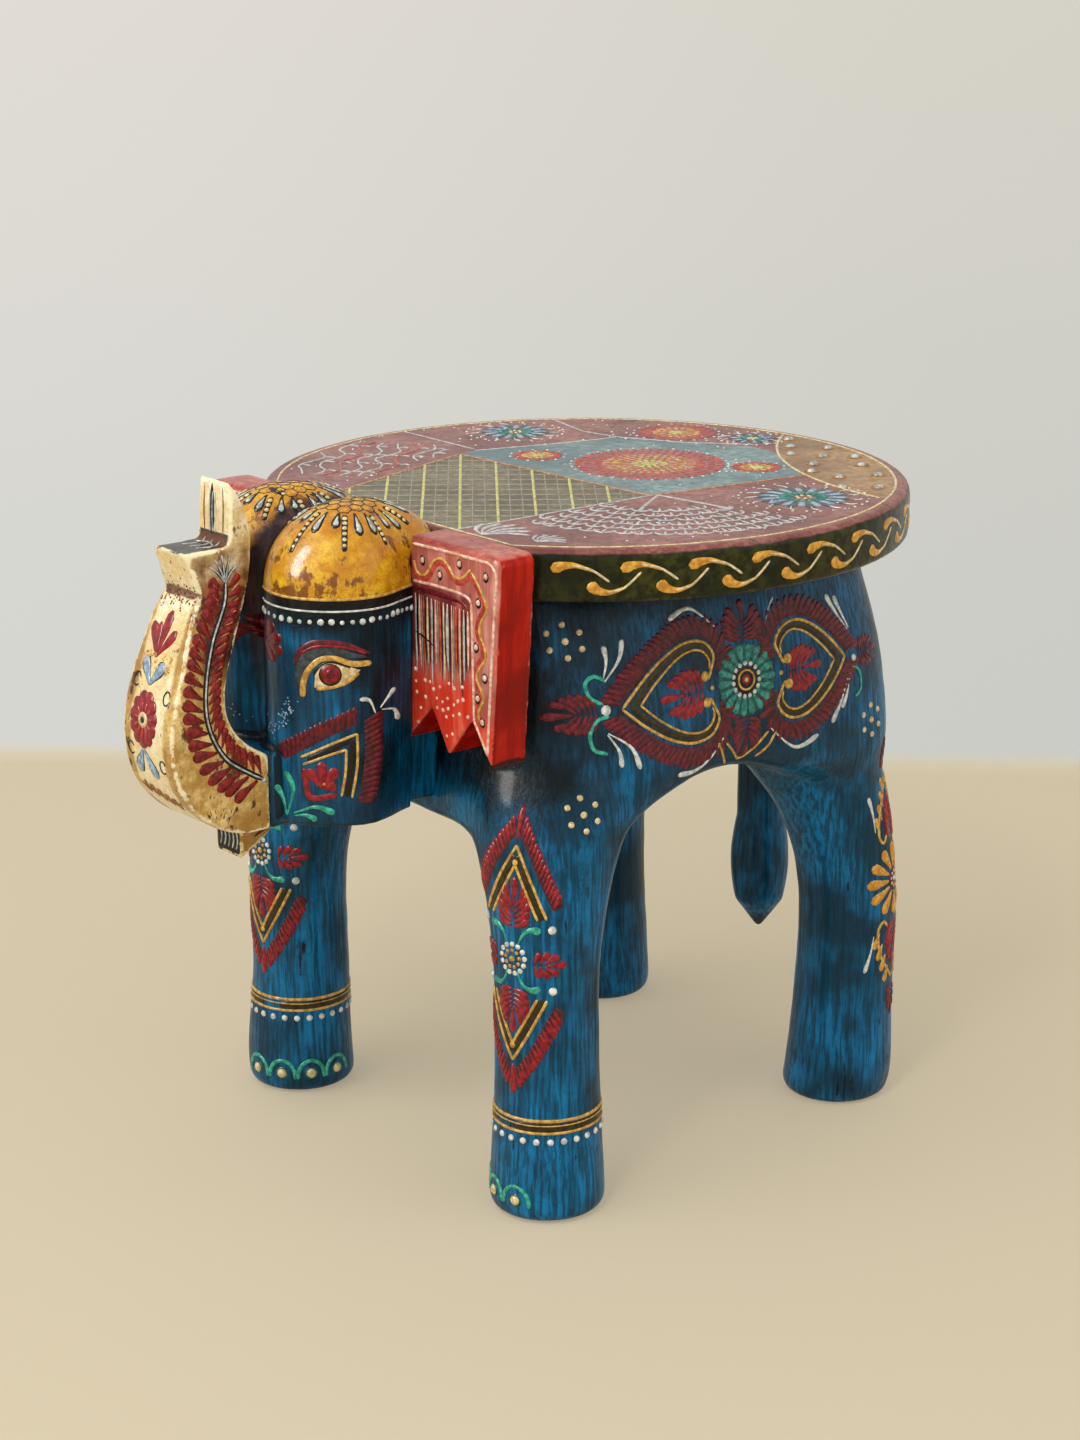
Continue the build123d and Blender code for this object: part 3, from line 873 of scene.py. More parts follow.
@dataclass(frozen=True)
class DomeChart(Chart):
    """A sheet wrapped over a dome: u and v run from its pole along the curve."""

    centre: Vector
    radius: float
    bearing: float
    clear: float = 30.0

    def ray(self, u: float, v: float) -> tuple[Vector, Vector]:
        """Give the start and direction of a sheet point's ray, unmirrored.

        Args:
            u: Place across the dome, mm.
            v: Place along the dome, mm.

        Returns:
            The ray's start and its direction.
        """
        turn, reach = math.radians(self.bearing), math.hypot(u, v) or 1e-6
        spread = reach / self.radius
        right = Vector((math.cos(turn), math.sin(turn), 0.0))
        level = (right * u + Vector((-right.y, right.x, 0.0)) * v) / reach
        out = level * math.sin(spread) + Vector((0.0, 0.0, math.cos(spread)))
        return self.centre + out * (self.radius + self.clear) * MM, -out


# ------------------------------------------------------------------------- lines
class Touch(Enum):
    """How a brush stroke's width runs from its start to its end."""

    LINE = ((0.0, 0.55), (0.04, 1.0), (0.96, 1.0), (1.0, 0.55))
    COMMA = ((0.0, 0.4), (0.07, 0.9), (0.16, 1.0), (0.32, 0.72), (0.6, 0.42), (1.0, 0.2))
    LEAF = ((0.0, 0.3), (0.35, 1.0), (0.7, 0.75), (1.0, 0.1))
    DROP = ((0.0, 0.22), (0.3, 0.5), (0.62, 0.95), (0.8, 1.0), (0.93, 0.75), (1.0, 0.3))

    def width(self, along: float) -> float:
        """Give the share of the full width at a place along the stroke.

        Args:
            along: The place, from 0 at the start to 1 at the end.

        Returns:
            The share.
        """
        for (start, low), (end, high) in zip(self.value, self.value[1:]):
            if along <= end:
                return low + (high - low) * (along - start) / (end - start)
        return self.value[-1][1]


def smooth_path(points: Path, step: float, closed: bool = False) -> list[Point]:
    """Draw a smooth line through points.

    Args:
        points: The points it passes through.
        step: Longest piece of the result, mm.
        closed: Whether it returns to its start.

    Returns:
        The finer points.
    """
    count = len(points)
    line: list[Point] = []
    for index in range(count if closed else count - 1):
        numbers = range(index - 1, index + 3)
        around = [points[n % count] if closed else points[min(max(n, 0), count - 1)] for n in numbers]
        parts = max(1, math.ceil(math.dist(around[1], around[2]) / step))
        for t in (part / parts for part in range(parts)):
            line.append(
                tuple(
                    0.5 * (2 * b + (c - a) * t + (2 * a - 5 * b + 4 * c - d) * t**2 + (3 * b - a - 3 * c + d) * t**3)
                    for a, b, c, d in zip(*around)
                )
            )
    return line if closed else [*line, tuple(points[-1])]


def arc(centre: Point, radius: float, start: float, end: float, parts: int = 12, squash: float = 1.0) -> list[Point]:
    """Points along an arc, angles in degrees; `squash` flattens it in height."""
    turns = [math.radians(start + (end - start) * k / parts) for k in range(parts + 1)]
    return [(centre[0] + radius * math.cos(t), centre[1] + squash * radius * math.sin(t)) for t in turns]


def spokes(count: int, start: float = 0.0) -> list[float]:
    """Even turns in radians, the first one `start` steps on."""
    return [2 * math.pi * (k + start) / count for k in range(count)]


def polar(centre: Point, turn: float, reach: float) -> Point:
    """The point at a turn in radians and a distance from a middle."""
    return centre[0] + math.cos(turn) * reach, centre[1] + math.sin(turn) * reach


def heading(line: Path, index: int, closed: bool = False) -> Point:
    """Find which way a line runs at one of its points.

    Args:
        line: The line.
        index: The point's number.
        closed: Whether the line is a ring.

    Returns:
        The direction, one long.
    """
    count = len(line)
    before = line[(index - 1) % count] if closed else line[max(index - 1, 0)]
    after = line[(index + 1) % count] if closed else line[min(index + 1, count - 1)]
    du, dv = after[0] - before[0], after[1] - before[1]
    size = math.hypot(du, dv) or 1.0
    return du / size, dv / size


def beside(line: Path, shift: float) -> list[Point]:
    """Move a line sideways, to its left when positive."""
    ways = [heading(line, index) for index in range(len(line))]
    return [(u - ev * shift, v + eu * shift) for (u, v), (eu, ev) in zip(line, ways)]


# ---------------------------------------------------------------- raised ornament
@dataclass
class Sheet:
    """Points of one paint, waiting to be thrown onto a carved surface."""

    starts: list[Vector] = field(default_factory=list)
    aims: list[Vector] = field(default_factory=list)
    sizes: list[float] = field(default_factory=list)
    faces: list[tuple[int, ...]] = field(default_factory=list)

    def point(self, chart: Chart, u: float, v: float, size: float) -> int:
        """Add one point.

        Args:
            chart: The sheet of paper it is drawn on.
            u: Place across the chart, mm.
            v: Place up the chart, mm.
            size: Lift of a form's point or radius of a dot, mm.

        Returns:
            The point's number.
        """
        start, aim = chart.place(u, v)
        self.starts.append(start)
        self.aims.append(aim)
        self.sizes.append(size)
        return len(self.starts) - 1

    def face(self, chart: Chart, *corners: int) -> None:
        """Add a face that looks outwards."""
        self.faces.append(corners[::-1] if chart.mirrored else corners)

    def mesh(self, name: str, label: str) -> Mesh:
        """Make the mesh that a tree starts from.

        Args:
            name: The mesh's name.
            label: Name of the attribute that holds the sizes.

        Returns:
            The mesh.
        """
        mesh = bpy.data.meshes.new(name)
        mesh.from_pydata([tuple(start) for start in self.starts], [], self.faces)
        aims = mesh.attributes.new("aim", "FLOAT_VECTOR", "POINT")
        aims.data.foreach_set("vector", [c for aim in self.aims for c in aim])
        sizes = mesh.attributes.new(label, "FLOAT", "POINT")
        sizes.data.foreach_set("value", [size * MM for size in self.sizes])
        return mesh


@dataclass
class Palette:
    """All ornament of one part: a sheet of forms and one of dots for each paint."""

    part: str
    slot: str
    surface: Piece
    forms: dict[Hue, Sheet] = field(default_factory=lambda: defaultdict(Sheet))
    dots: dict[Hue, Sheet] = field(default_factory=lambda: defaultdict(Sheet))

    def lay(self, shop: Workshop) -> None:
        """Lay every sheet as its own piece.

        Args:
            shop: The workshop.
        """
        kinds = ((self.forms, "", "lift", shop.trees.laid), (self.dots, "_dots", "size", shop.trees.beaded))
        for sheets, ending, label, tree in kinds:
            for hue, sheet in sheets.items():
                name = f"{self.part}_{hue.value.name}{ending}"
                values = {"Surface": self.surface, "Paint": shop.paints.raised(hue.value)}
                shop.trees.bake(sheet.mesh(name, label), tree, values, self.slot)


@dataclass(frozen=True)
class Brush:
    """Draws closed little forms and dots on one chart; all sizes are mm."""

    work: Palette
    chart: Chart

    sink, spread, hoop_parts = 0.35, 0.6, 48
    section = ((-1.0, 0.0), (-0.62, 0.78), (0.0, 1.0), (0.62, 0.78), (1.0, 0.0))

    def _skin(self, sheet: Sheet, rows: list[list[int]], closed: bool) -> None:
        """Cover rows of points as one form, its ends capped unless it is a ring.

        Args:
            sheet: Where the points are.
            rows: Numbers of the points across the form, row by row.
            closed: Whether the last row meets the first.
        """
        for first, second in zip(rows, rows[1:] + (rows[:1] if closed else [])):
            for k in range(len(first) - 1):
                sheet.face(self.chart, first[k + 1], first[k], second[k], second[k + 1])
            sheet.face(self.chart, first[0], first[-1], second[-1], second[0])
        if not closed:
            sheet.face(self.chart, *rows[0])
            sheet.face(self.chart, *reversed(rows[-1]))

    def stroke(
        self, hue: Hue, path: Path, width: float, height: float = 0.5, touch: Touch = Touch.LINE, closed: bool = False,
        step: float = 1.6,
    ) -> None:
        """Trail one brush stroke.

        Args:
            hue: The paint.
            path: Points that it passes through.
            width: Its full width.
            height: How far it stands up.
            touch: How its width runs.
            closed: Whether it is a ring.
            step: Longest straight piece.
        """
        sheet, line, rows = self.work.forms[hue], smooth_path(path, step, closed), []
        for index, (u, v) in enumerate(line):
            eu, ev = heading(line, index, closed)
            share = 1.0 if closed else touch.width(index / max(len(line) - 1, 1))
            half = width * self.spread * share
            body = min(1.0, 0.4 + half / width * 1.2)
            rows.append(
                [
                    sheet.point(
                        self.chart, u - ev * half * side, v + eu * half * side, height * rise * body or -self.sink
                    )
                    for side, rise in self.section
                ]
            )
        self._skin(sheet, rows, closed)

    def strokes(self, hue: Hue, paths: Iterable[Path], *how: object, **more: float) -> None:
        """Trail several strokes of one kind."""
        for path in paths:
            self.stroke(hue, path, *how, **more)

    def hoop(self, hue: Hue, level: float, width: float, height: float) -> None:
        """Trail a closed ring right round an upright form.

        Args:
            hue: The paint.
            level: Height of the ring.
            width: Its full width.
            height: How far it stands up.
        """
        sheet, turn = self.work.forms[hue], 2 * math.pi * self.chart.radius
        around = [turn * k / self.hoop_parts for k in range(self.hoop_parts)]
        rows = [
            [
                sheet.point(self.chart, u, level + width / 2 * side, height * rise or -self.sink)
                for side, rise in self.section
            ]
            for u in around
        ]
        self._skin(sheet, rows, True)

    def patch(self, hue: Hue, outline: Path, height: float) -> None:
        """Fill a shape that can be seen whole from its middle.

        Args:
            hue: The paint.
            outline: Its rim, anticlockwise.
            height: How far it stands up.
        """
        sheet, count = self.work.forms[hue], len(outline)
        cu, cv = (sum(values) / count for values in zip(*outline))
        rows = [[sheet.point(self.chart, u, v, -self.sink) for u, v in outline]]
        for share, rise in ((0.93, height * 0.8), (0.5, height)):
            inner = [(cu + (u - cu) * share, cv + (v - cv) * share) for u, v in outline]
            rows.append([sheet.point(self.chart, u, v, rise) for u, v in inner])
        top = sheet.point(self.chart, cu, cv, height)
        for outer, inner in zip(rows, rows[1:]):
            for k in range(count):
                sheet.face(self.chart, outer[k], outer[(k + 1) % count], inner[(k + 1) % count], inner[k])
        for k in range(count):
            sheet.face(self.chart, rows[-1][k], rows[-1][(k + 1) % count], top)
        sheet.face(self.chart, *reversed(rows[0]))

    def disc(
        self, hue: Hue, centre: Point, radius: float, height: float, squash: float = 1.0, parts: int = 14
    ) -> None:
        """Fill a round or flattened spot."""
        self.patch(hue, arc(centre, radius, 0, 360, parts, squash)[:-1], height)

    def circle(
        self, hue: Hue, centre: Point, radius: float, width: float, height: float, parts: int = 14, step: float = 1.6
    ) -> None:
        """Trail a small ring."""
        self.stroke(hue, arc(centre, radius, 0, 360, parts)[:-1], width, height, closed=True, step=step)

    def petal(self, hue: Hue, root: Point, tip: Point, width: float, height: float, bend: float = 0.0) -> None:
        """Draw one short petal, bent sideways by a share of its length.

        Args:
            hue: The paint.
            root: Its narrow end.
            tip: Its full end.
            width: Its full width.
            height: How far it stands up.
            bend: The share.
        """
        du, dv = tip[0] - root[0], tip[1] - root[1]
        middle = ((root[0] + tip[0]) / 2 - dv * bend, (root[1] + tip[1]) / 2 + du * bend)
        self.stroke(hue, (root, middle, tip), width, height, Touch.DROP, step=max(math.hypot(du, dv) / 6, 0.7))

    def wheel(
        self, hue: Hue, centre: Point, turns: Iterable[float], inner: Point, outer: Point, width: float, height: float
    ) -> None:
        """Set petals round a middle.

        Args:
            hue: The paint.
            centre: The middle.
            turns: Directions of the petals, radians.
            inner: How far their roots lie from the middle, across and up.
            outer: How far their tips do.
            width: Width of one petal.
            height: How far it stands up.
        """
        for turn in turns:
            du, dv = math.cos(turn), math.sin(turn)
            root, tip = ((centre[0] + du * a, centre[1] + dv * b) for a, b in (inner, outer))
            self.petal(hue, root, tip, width, height)

    def palmette(
        self, hue: Hue, root: Point, tip: Point, spread: float, width: float, pairs: int, height: float = 0.5
    ) -> None:
        """Draw a fan of petals along a stem.

        Args:
            hue: The paint.
            root: Foot of the stem.
            tip: End of the middle petal.
            spread: Half width of the fan.
            width: Width of one petal.
            pairs: Number of side petals on each side.
            height: How far the petals stand up.
        """
        du, dv = tip[0] - root[0], tip[1] - root[1]
        length = math.hypot(du, dv)
        eu, ev = du / length, dv / length
        self.petal(hue, (root[0] + du * 0.5, root[1] + dv * 0.5), tip, width * 1.15, height)
        for share in ((k + 0.5) / pairs for k in range(pairs)):
            foot = length * (0.08 + 0.42 * share)
            reach = spread * (1.0 - 0.55 * share**2) * (0.75 + 0.25 * min(1.0, 2 * share))
            ahead = length * (0.12 + 0.3 * share)
            for side in (1, -1):
                start, end = (
                    (root[0] + eu * along - ev * side * off, root[1] + ev * along + eu * side * off)
                    for along, off in ((foot, 0.4), (foot + ahead, reach))
                )
                self.petal(hue, start, end, width, height, bend=0.12 * side)

    def feathers(
        self, hue: Hue, path: Path, length: float, pitch: float, width: float, lean: float, height: float,
        side: int = 1, taper: float = 0.0,
    ) -> None:
        """Draw a row of short strokes that leave a line on one side.

        Args:
            hue: The paint.
            path: The line they leave.
            length: Length of one stroke.
            pitch: Distance from one to the next.
            width: Width of one stroke.
            lean: How far each leans along the line, as a share of its length.
            height: How far it stands up.
            side: 1 for the line's left, -1 for its right.
            taper: How much shorter the last ones are, as a share.
        """
        line = smooth_path(path, 0.5)
        total, run, due = sum(math.dist(a, b) for a, b in zip(line, line[1:])), 0.0, pitch / 2
        for first, second in zip(line, line[1:]):
            gap = math.dist(first, second)
            run += gap
            if run < due or gap == 0:
                continue
            due += pitch
            eu, ev = (second[0] - first[0]) / gap, (second[1] - first[1]) / gap
            size = length * (1 - taper * run / total)
            end = (first[0] - ev * side * size + eu * lean * size, first[1] + eu * side * size + ev * lean * size)
            self.petal(hue, first, end, width, height)

    def bead(self, hue: Hue, centre: Point, radius: float) -> None:
        """Set one dot."""
        self.work.dots[hue].point(self.chart, *centre, radius)

    def ring(self, hue: Hue, centre: Point, radius: float, count: int, size: float) -> None:
        """Set a ring of dots."""
        for spot in arc(centre, radius, 90, 450, count)[:-1]:
            self.bead(hue, spot, size)

    def rosette(self, hue: Hue, centre: Point, size: float, radius: float = 7.0) -> None:
        """Set six dots round one."""
        self.bead(hue, centre, size * 1.1)
        self.ring(hue, centre, radius, 6, size)


class Trees:
    """The Geometry Nodes trees that lay ornament on carved surfaces."""

    shared = {"Geometry": "Geometry", "Surface": "Object", "Paint": "Material", "Reach": 0.4}

    def __init__(self) -> None:
        """Build both trees."""
        self.laid = self._laid()
        self.beaded = self._beaded()

    @staticmethod
    def _throw(wires: Wiring, given: Sockets) -> tuple[Socket, Socket, Socket]:
        """Throw each point along its own ray.

        Args:
            wires: The tree's wiring.
            given: The tree's inputs.

        Returns:
            Whether it hits, where, and the smooth normal there.
        """
        target = wires.add("GeometryNodeObjectInfo", {"Object": given["Surface"]}).outputs["Geometry"]
        facing = wires.add("GeometryNodeInputNormal").outputs[0]
        aim = wires.stored("aim", "FLOAT_VECTOR")
        sources = {"Target Geometry": target, "Attribute": facing, "Ray Direction": aim, "Ray Length": given["Reach"]}
        ray = wires.add("GeometryNodeRaycast", sources, data_type="FLOAT_VECTOR", mapping="INTERPOLATED").outputs
        smooth = wires.add("ShaderNodeVectorMath", {0: live(ray, "Attribute")}, operation="NORMALIZE").outputs[0]
        return ray["Is Hit"], ray["Hit Position"], smooth

    @staticmethod
    def _close(wires: Wiring, given: Sockets, shape: Socket, result: Sockets) -> None:
        """Smooth, realize, paint and hand out the geometry.

        Args:
            wires: The tree's wiring.
            given: The tree's inputs.
            shape: The geometry.
            result: The tree's outputs.
        """
        soft = wires.add("GeometryNodeSetShadeSmooth", {"Geometry": shape}).outputs[0]
        real = wires.add("GeometryNodeRealizeInstances", {"Geometry": soft}).outputs[0]
        paint = wires.add("GeometryNodeSetMaterial", {"Geometry": real, "Material": given["Paint"]}).outputs[0]
        wires.feed(result["Geometry"], paint)

    def _laid(self) -> Tree:
        """Build the tree that lays closed forms on a surface at their own heights.

        Returns:
            The tree.
        """
        wires, given, result = open_tree("lay_on_surface", "Geometry", self.shared | {"Thickness": 1.0}, ["Geometry"])
        hit, place, normal = self._throw(wires, given)
        sources = {"Name": "landed", "Geometry": given["Geometry"], "Value": hit}
        mark = wires.add("GeometryNodeStoreNamedAttribute", sources, data_type="FLOAT").outputs[0]
        rise = wires.scaled(normal, wires.times(wires.stored("lift"), given["Thickness"]))
        sources = {"Geometry": mark, "Selection": hit, "Position": wires.vector("ADD", place, rise)}
        self._close(wires, given, wires.add("GeometryNodeSetPosition", sources).outputs[0], result)
        return wires.tree

    def _beaded(self) -> Tree:
        """Build the tree that sets a flattened dot at each point.

        Returns:
            The tree.
        """
        wires, given, result = open_tree("set_dots", "Geometry", self.shared | {"Flatness": 0.6}, ["Geometry"])
        hit, place, normal = self._throw(wires, given)
        sources = {"Name": "facing", "Geometry": given["Geometry"], "Value": normal}
        keep = wires.add("GeometryNodeStoreNamedAttribute", sources, data_type="FLOAT_VECTOR").outputs[0]
        spots = wires.add("GeometryNodeSetPosition", {"Geometry": keep, "Position": place}).outputs[0]
        ball = wires.add("GeometryNodeMeshUVSphere", {"Segments": 10, "Rings": 5, "Radius": 1.0}).outputs["Mesh"]
        facing = {"Vector": wires.stored("facing", "FLOAT_VECTOR")}
        turn = wires.add("FunctionNodeAlignRotationToVector", facing, axis="Z").outputs["Rotation"]
        radius = wires.stored("size")
        flat = wires.times(radius, given["Flatness"])
        size = wires.add("ShaderNodeCombineXYZ", {0: radius, 1: radius, 2: flat}).outputs[0]
        sources = {"Points": spots, "Selection": hit, "Instance": ball, "Rotation": turn, "Scale": size}
        self._close(wires, given, wires.add("GeometryNodeInstanceOnPoints", sources).outputs[0], result)
        return wires.tree

    @staticmethod
    def bake(mesh: Mesh, tree: Tree, values: dict[str, object], slot: str) -> None:
        """Run a tree on a mesh and keep the result as a plain piece of its name.

        Args:
            mesh: What the tree starts from.
            tree: The tree.
            values: Its inputs by name.
            slot: Not used.
        """
        name = mesh.name
        start = linked(f"{name}_start", mesh)
        modifier = start.modifiers.new("ornament", "NODES")
        modifier.node_group = tree
        for item in tree.interface.items_tree:
            if item.in_out == "INPUT" and item.name in values:
                modifier[item.identifier] = values[item.name]
        done = evaluated(start)
        if "landed" in done.attributes:
            drop_strays(done)
        for label in ("aim", "lift", "size", "facing", "landed"):
            if label in done.attributes:
                done.attributes.remove(done.attributes[label])
        done.name = name
        piece = linked(name, done)
        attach(piece, "root")
        LOG.info("%s: %d faces", name, len(done.polygons))


# ----------------------------------------------------------------------- carving
def evaluated(item: Piece) -> Mesh:
    """Apply an object's modifiers, keep the mesh and remove the object.

    Args:
        item: The object.

    Returns:
        The mesh.
    """
    graph = bpy.context.evaluated_depsgraph_get()
    mesh = bpy.data.meshes.new_from_object(item.evaluated_get(graph), depsgraph=graph)
    bpy.data.objects.remove(item)
    return mesh


def grow(start: bmesh.types.BMVert, seen: set[bmesh.types.BMVert]) -> list[bmesh.types.BMVert]:
    """Collect the shell that a point belongs to.

    Args:
        start: The point.
        seen: Points met so far, which gains the shell's.

    Returns:
        The shell's points.
    """
    island, queue = [start], [start]
    seen.add(start)
    while queue:
        for edge in queue.pop().link_edges:
            for other in edge.verts:
                if other not in seen:
                    seen.add(other)
                    island.append(other)
                    queue.append(other)
    return island


def drop_strays(mesh: Mesh) -> None:
    """Take out every form of which some point found no surface.

    Args:
        mesh: The forms.
    """
    shell = bmesh.new()
    shell.from_mesh(mesh)
    landed = shell.verts.layers.float["landed"]
    stray: set[bmesh.types.BMVert] = set()
    for vert in shell.verts:
        if vert[landed] <= 0.5 and vert not in stray:
            grow(vert, stray)
    if stray:
        LOG.info("%s: %d stray points taken out", mesh.name, len(stray))
        bmesh.ops.delete(shell, geom=list(stray), context="VERTS")
    shell.to_mesh(mesh)
    shell.free()


def keep_large_shells(mesh: Mesh, share: float = 0.04) -> None:
    """Take out shells that hold less than a share of a mesh's points.

    Args:
        mesh: The mesh.
        share: The share.
    """
    shell = bmesh.new()
    shell.from_mesh(mesh)
    seen: set[bmesh.types.BMVert] = set()
    islands = [grow(vert, seen) for vert in shell.verts if vert not in seen]
    small = [vert for island in islands if len(island) < share * len(shell.verts) for vert in island]
    bmesh.ops.delete(shell, geom=small, context="VERTS")
    shell.to_mesh(mesh)
    shell.free()


def merged_surface(name: str, meshes: Iterable[Mesh]) -> Piece:
    """Join copies of meshes into one smooth helper, which is removed after use.

    Args:
        name: Name of the helper object.
        meshes: The meshes to join.

    Returns:
        The helper.
    """
    shell = bmesh.new()
    for source in meshes:
        shell.from_mesh(source)
    bmesh.ops.remove_doubles(shell, verts=shell.verts, dist=1e-6)
    for face in shell.faces:
        face.smooth = True
    mesh = bpy.data.meshes.new(name)
    shell.to_mesh(mesh)
    shell.free()
    return linked(name, mesh)


class Skin:
    """A mesh's points and edges as arrays that can be worked over."""

    def __init__(self, mesh: Mesh) -> None:
        """Read the mesh.

        Args:
            mesh: The mesh.
        """
        self.mesh = mesh
        spots = np.empty(len(mesh.vertices) * 3, np.float32)
        mesh.vertices.foreach_get("co", spots)
        self.spots = spots.reshape(-1, 3)
        ends = np.empty(len(mesh.edges) * 2, np.int32)
        mesh.edges.foreach_get("vertices", ends)
        self.first, self.second = ends[0::2], ends[1::2]
        self.valence = self.gather(None, None)

    def gather(self, at_first: np.ndarray | None, at_second: np.ndarray | None) -> np.ndarray:
        """Add up at each point what its edges bring to either end, or the edges."""
        count = len(self.spots)
        return np.bincount(self.first, at_first, count) + np.bincount(self.second, at_second, count)

    def store(self) -> None:
        """Write the points back to the mesh."""
        self.mesh.vertices.foreach_set("co", self.spots.ravel())
        self.mesh.update()

    def normals(self) -> np.ndarray:
        """Write the points back and read their smooth normals.

        Returns:
            One normal for each point.
        """
        self.store()
        normals = np.empty(len(self.spots) * 3, np.float32)
        self.mesh.vertex_normals.foreach_get("vector", normals)
        return normals.reshape(-1, 3)

    def relax(self, weight: np.ndarray, turns: int) -> None:
        """Draw each point towards the middle of its neighbours.

        Args:
            weight: How far each point goes, as a share.
            turns: How many times.
        """
        spots, first, second = self.spots, self.first, self.second
        for _ in range(turns):
            middle = np.stack([self.gather(spots[second, k], spots[first, k]) for k in range(3)], 1)
            spots += weight[:, None] * (middle / self.valence[:, None] - spots)

    def bending(self, blur: int) -> np.ndarray:
        """Measure how strongly the surface bends at each point.

        Args:
            blur: How many times the result is spread to the neighbours.

        Returns:
            Mean curvature per metre, positive on arrises and negative in hollows.
        """
        normals, first, second = self.normals(), self.first, self.second
        span = self.spots[second] - self.spots[first]
        bend = ((normals[second] - normals[first]) * span).sum(1) / np.maximum((span**2).sum(1), 1e-12)
        result = self.gather(bend, bend) / self.valence
        for _ in range(blur):
            result = 0.4 * result + 0.6 * self.gather(result[second], result[first]) / self.valence
        return result

    def chisel(self, depth: float) -> None:
        """Cut the points in unevenly, but not at the feet.

        Args:
            depth: How deep the cuts go, mm.
        """
        waves = [noise.noise(Vector(spot) * 34) + 0.5 * noise.noise(Vector(spot) * 95) for spot in self.spots]
        cut = depth * MM * np.clip(0.5 + np.array(waves), 0, 1.2) * np.clip(self.spots[:, 2] / MM / 4, 0, 1)
        self.spots -= self.normals() * cut[:, None]


@dataclass(frozen=True)
class Carver:
    """Works frame nodes over by hand: eased arrises, blended joints, uneven faces."""

    frame: dict
    ease_turns: int = 3
    blend_turns: int = 60
    blend_margin: float = 14.0
    full_bend: float = 60.0

    def carve(
        self, name: str, nodes: Sequence[str], cell: float, uneven: float, slot: str, paint: Material,
        blend: Point | None = None,
    ) -> Piece:
        """Make the worked-over piece that stands for some nodes.

        Args:
            name: The piece's name.
            nodes: The nodes it stands for.
            cell: Size of its mesh, mm.
            uneven: How deep the chisel's unevenness goes, mm.
            slot: Not used.
            paint: Its material.
            blend: Heights between which joints are blended, mm.

        Returns:
            The piece.
        """
        rough = merged_surface(f"{name}_rough", [self.frame["nodes"][node].data for node in nodes])
        cells = rough.modifiers.new("cells", "REMESH")
        cells.mode, cells.voxel_size, cells.use_smooth_shade = "VOXEL", cell * MM, True
        mesh = evaluated(rough)
        keep_large_shells(mesh)
        skin = Skin(mesh)
        skin.relax(np.full(len(skin.spots), 0.5), self.ease_turns)
        if blend:
            bend, height = np.abs(skin.bending(6)), skin.spots[:, 2] / MM
            rise, fall = (np.clip(gap / self.blend_margin, 0, 1) for gap in (height - blend[0], blend[1] - height))
            skin.relax(np.clip(bend / self.full_bend, 0, 1) * (rise * fall) * 0.7, self.blend_turns)
        skin.chisel(uneven)
        bend = skin.bending(3)
        for label, values in (("edge", (bend - 45) / 160), ("hollow", (-bend - 8) / 60)):
            marks = mesh.attributes.new(label, "FLOAT", "POINT")
            marks.data.foreach_set("value", np.clip(values, 0, 1).astype(np.float32))
        piece = linked(name, mesh)
        mesh.name = name
        mesh.materials.append(paint)
        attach(piece, "root")
        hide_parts(*nodes)
        LOG.info("%s: %d faces carved", name, len(mesh.polygons))
        return piece


@dataclass(frozen=True)
class Workshop:
    """What every sub-assembly is made with."""

    carver: Carver
    paints: PaintShop
    trees: Trees


